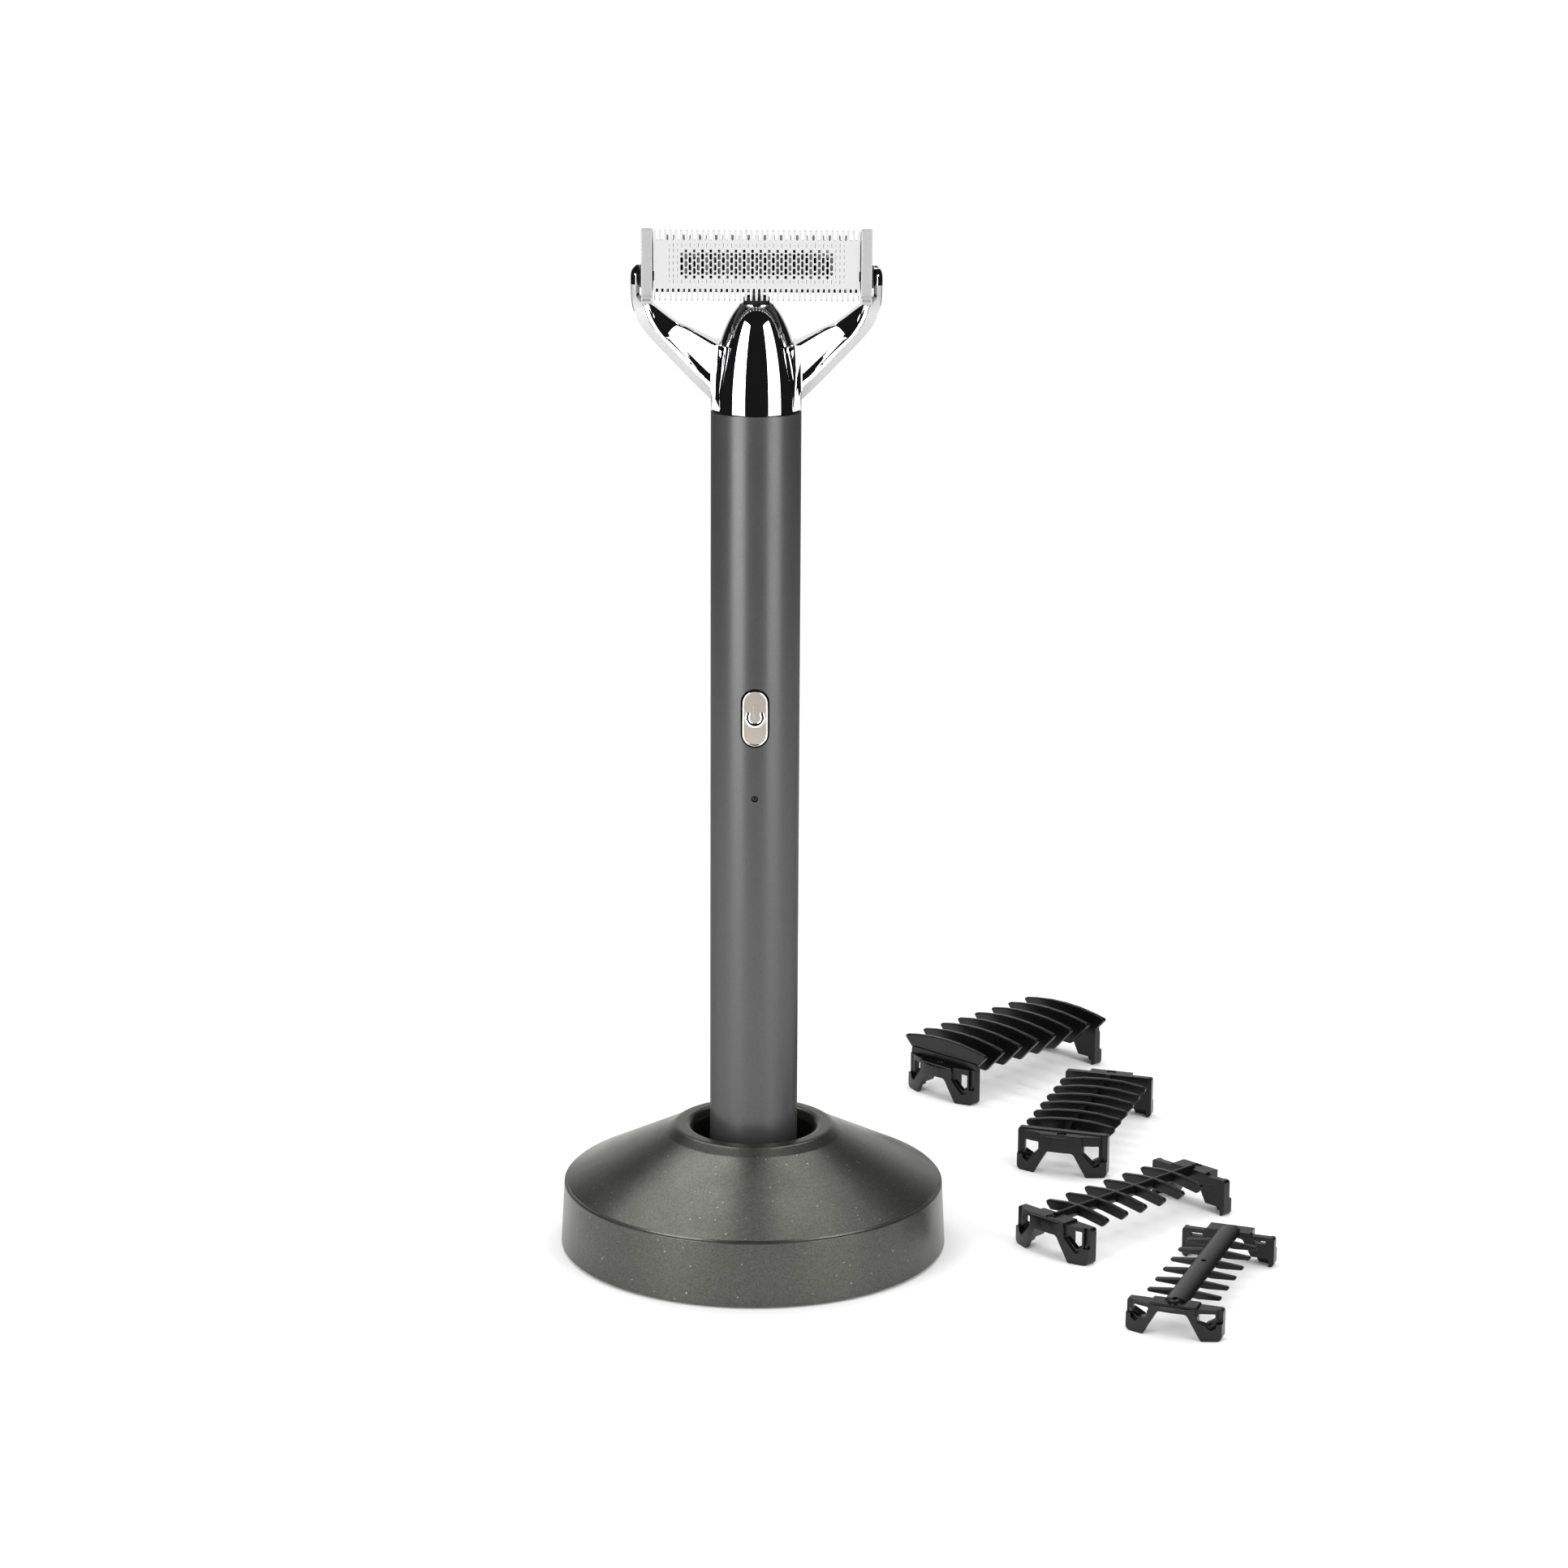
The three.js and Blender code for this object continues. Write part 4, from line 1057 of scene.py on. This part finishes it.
def spine(style):
    """Oval rib along the middle of a guide."""
    low, high, half = style["spine"]
    angles = [2 * math.pi * k / 24 for k in range(24)]
    section = [(half * math.sin(a), (low + high) / 2 + (high - low) / 2 * math.cos(a)) for a in angles]
    return prism("spine", section, -END_OUTER, END_OUTER, "X")


def comb(name):
    """A whole guide, in its place on the table."""
    style = COMBS[name]
    pieces = [comb_end(style, 1)] + [comb_fin(style, x) for x in centred(FINS, FIN_PITCH)]
    if name == "comb_long":
        pieces += [comb_fin(style, side * (END_INNER + 0.5)) for side in (-1, 1)]
    pieces.append(spine(style))
    if name == "comb_medium":
        pieces += [ramp(x) for x in centred(FINS + 1, FIN_PITCH)]
    if name == "comb_bare":
        pieces.append(dome())
    guide = comb_end(style, -1)
    guide.name = name + "_moulded"
    boolean(guide, pieces, "UNION")
    if name == "comb_bare":
        holes = [prism("hole", circle(x, 0, 0.5, 20), 5.6, 20, "Z") for x in (0, -19.6)]
        cut(guide, holes)
    shade(guide.data, 35)
    settle(guide)
    place = Matrix.Translation((style["x"] * MM, style["y"] * MM, 0))
    guide.data.transform(place @ Matrix.Rotation(math.radians(style["turn"]), 4, "Z"))
    return guide


# ------------------------ scene, in metres

CAMERA_PLACE = (0.0, -0.6995, 0.2607)
CAMERA_PITCH = math.radians(13.95)
CAMERA_YAW = math.radians(0.431)
CAMERA_ROLL = math.radians(0.316)
WORLD_SOFT = 1.1
STRIP_DISTANCE = 0.7
STRIP_WIDTH = 0.42
STRIP_LOW = -0.1
STRIP_HIGH = 0.85
OVERHEAD_DISTANCE = 0.85
OVERHEAD_SIZE = (0.16, 0.5)
FLOOR_CORNERS = [(-0.45, -0.34, 0.0), (0.5, -0.34, 0.0), (0.5, 0.5, 0.0), (-0.45, 0.5, 0.0)]


def add_camera():
    """The camera of the reference view: in front, a little above the head, looking down."""
    pitch, yaw, roll = CAMERA_PITCH, CAMERA_YAW, CAMERA_ROLL
    forward = Vector((math.sin(yaw) * math.cos(pitch), math.cos(yaw) * math.cos(pitch), -math.sin(pitch)))
    right = Vector((math.cos(yaw), -math.sin(yaw), 0.0))
    up = right.cross(forward)
    turned_right = math.cos(roll) * right + math.sin(roll) * up
    turned_up = -math.sin(roll) * right + math.cos(roll) * up
    camera = bpy.data.objects.new("camera", bpy.data.cameras.new("camera"))
    camera.data.lens = 91.94
    camera.data.sensor_width = 36.0
    camera.data.clip_start = 0.01
    camera.data.clip_end = 50.0
    basis = Matrix((turned_right, turned_up, -forward)).transposed().to_4x4()
    camera.matrix_world = Matrix.Translation(CAMERA_PLACE) @ basis
    bpy.context.scene.collection.objects.link(camera)
    bpy.context.scene.camera = camera


def add_world():
    """White to the eye and for soft light. Reflections see white far behind and a dark room in front."""
    world = bpy.data.worlds.new("studio")
    bpy.context.scene.world = world
    world.use_nodes = True
    nodes, links = world.node_tree.nodes, world.node_tree.links
    background = nodes["Background"]
    coords = nodes.new("ShaderNodeTexCoord")
    split = nodes.new("ShaderNodeSeparateXYZ")
    links.new(coords.outputs["Generated"], split.inputs["Vector"])
    behind = nodes.new("ShaderNodeMapRange")
    behind.interpolation_type = "SMOOTHSTEP"
    set_range(behind, 0.75, 0.98, 0.01, 0.85)
    links.new(split.outputs["Y"], behind.inputs["Value"])
    path = nodes.new("ShaderNodeLightPath")
    pick = nodes.new("ShaderNodeMix")
    pick.data_type = "FLOAT"
    pick.inputs["A"].default_value = WORLD_SOFT
    links.new(path.outputs["Is Glossy Ray"], pick.inputs["Factor"])
    links.new(behind.outputs["Result"], pick.inputs["B"])
    links.new(pick.outputs["Result"], background.inputs["Strength"])
    background.inputs["Color"].default_value = (1, 1, 1, 1)


def add_soft_box(name, width, height, place, back, power):
    """An area light at a place. It shines away from the direction that its back faces."""
    light = bpy.data.lights.new(name, "AREA")
    light.shape = "RECTANGLE"
    light.size = width
    light.size_y = height
    light.energy = power
    obj = bpy.data.objects.new(name, light)
    obj.location = place
    obj.rotation_euler = back.to_track_quat("Z", "Y").to_euler()
    bpy.context.scene.collection.objects.link(obj)


def add_strip(name, azimuth, power):
    """An upright soft box that faces the trimmer, at an angle round from straight in front."""
    angle = math.radians(azimuth)
    back = Vector((STRIP_DISTANCE * math.sin(angle), -STRIP_DISTANCE * math.cos(angle), 0))
    place = back + Vector((0, 0, (STRIP_LOW + STRIP_HIGH) / 2))
    add_soft_box(name, STRIP_WIDTH, STRIP_HIGH - STRIP_LOW, place, back, power)


def add_overhead(name, direction, power):
    """A long narrow soft box above the stand, seen in its painted cone."""
    back = Vector(direction)
    add_soft_box(name, *OVERHEAD_SIZE, back * OVERHEAD_DISTANCE, back, power)


def add_floor():
    """Plain pale floor, small enough to leave the reflections at grazing angles dark."""
    mesh = bpy.data.meshes.new("floor")
    mesh.from_pydata(FLOOR_CORNERS, [], [(0, 1, 2, 3)])
    floor = bpy.data.objects.new("floor", mesh)
    bpy.context.scene.collection.objects.link(floor)
    n = Nodes("pale_floor")
    n.set(Metallic=0.0, Roughness=0.6, Specular_IOR_Level=0.2)
    n.set(Base_Color=(*grey(0.76), 1))
    mesh.materials.append(n.material)


def add(obj, body, slot, *nodes, finish=None):
    """Gives a piece its finish if it has none, rides it on a body and lets it stand for CAD nodes."""
    if not any(obj.data.materials):
        obj.data.materials.clear()
        obj.data.materials.append(MATERIALS[finish or slot])
    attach(obj, body)
    if nodes:
        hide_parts(*nodes)


# ------------------------ run

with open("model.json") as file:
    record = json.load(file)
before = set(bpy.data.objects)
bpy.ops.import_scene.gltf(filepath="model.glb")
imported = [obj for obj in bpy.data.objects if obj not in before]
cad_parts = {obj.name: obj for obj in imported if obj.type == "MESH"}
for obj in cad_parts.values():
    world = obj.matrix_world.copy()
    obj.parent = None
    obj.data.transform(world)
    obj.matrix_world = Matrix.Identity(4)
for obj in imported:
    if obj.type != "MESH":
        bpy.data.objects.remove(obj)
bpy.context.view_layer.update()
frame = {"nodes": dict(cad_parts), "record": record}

bpy.context.scene.view_settings.view_transform = "Standard"
add_camera()
add_world()
add_strip("strip_left", -45.5, 7.0)
add_strip("strip_right", 48.0, 5.2)
add_overhead("overhead_left", (-0.284, 0.388, 0.877), 1.45)
add_overhead("overhead_right", (0.24, 0.352, 0.905), 1.0)
add_floor()

MATERIALS = make_materials()
slots = {entry["node"]: entry["material_slot"] for entry in frame["record"]["subparts"]}
for node_name, node in frame["nodes"].items():
    node.data.materials.clear()
    node.data.materials.append(MATERIALS[slots[node_name]])
    shade(node.data, 30.0)

add(stand_shell(), "stand", "stand_paint", "stand_shell")
add(inlet(), "stand", "black_plastic", "inlet_socket")
add(inlet_pin(), "stand", "brass", "inlet_socket")
add(handle_tube(), "handle", "satin_aluminium", "handle_tube")
add(led_lens(), "handle", "smoked_lens", "led_lens")
add(button_rim(), "button", "champagne", "power_button", finish="champagne_rim")
add(button_face(), "button", "champagne", "power_button")
add(power_ring(), "button", "champagne", "power_button", finish="champagne_rim")
add(power_bar(), "button", "champagne", "power_button")
add(nose_shell(), "handle", "chrome", "nose_cone")
add(yoke_arm(-1), "handle", "chrome", "yoke_arm_left")
add(yoke_arm(1), "handle", "chrome", "yoke_arm_right")
add(fixed_blade(), "head", "blade_steel", "fixed_blade")
add(head_tray(), "head", "black_plastic", "head_housing")
add(end_cap(-1), "head", "satin_silver", "head_end_cap_left")
add(end_cap(1), "head", "satin_silver", "head_end_cap_right")
add(moving_blade(), "cutter", "blade_steel", "moving_blade")
for comb_name, guide_body in (("comb_long", "long_guide"), ("comb_medium", "medium_guide"),
                              ("comb_short", "short_guide"), ("comb_bare", "bare_guide")):
    add(comb(comb_name), guide_body, "comb_plastic", comb_name)
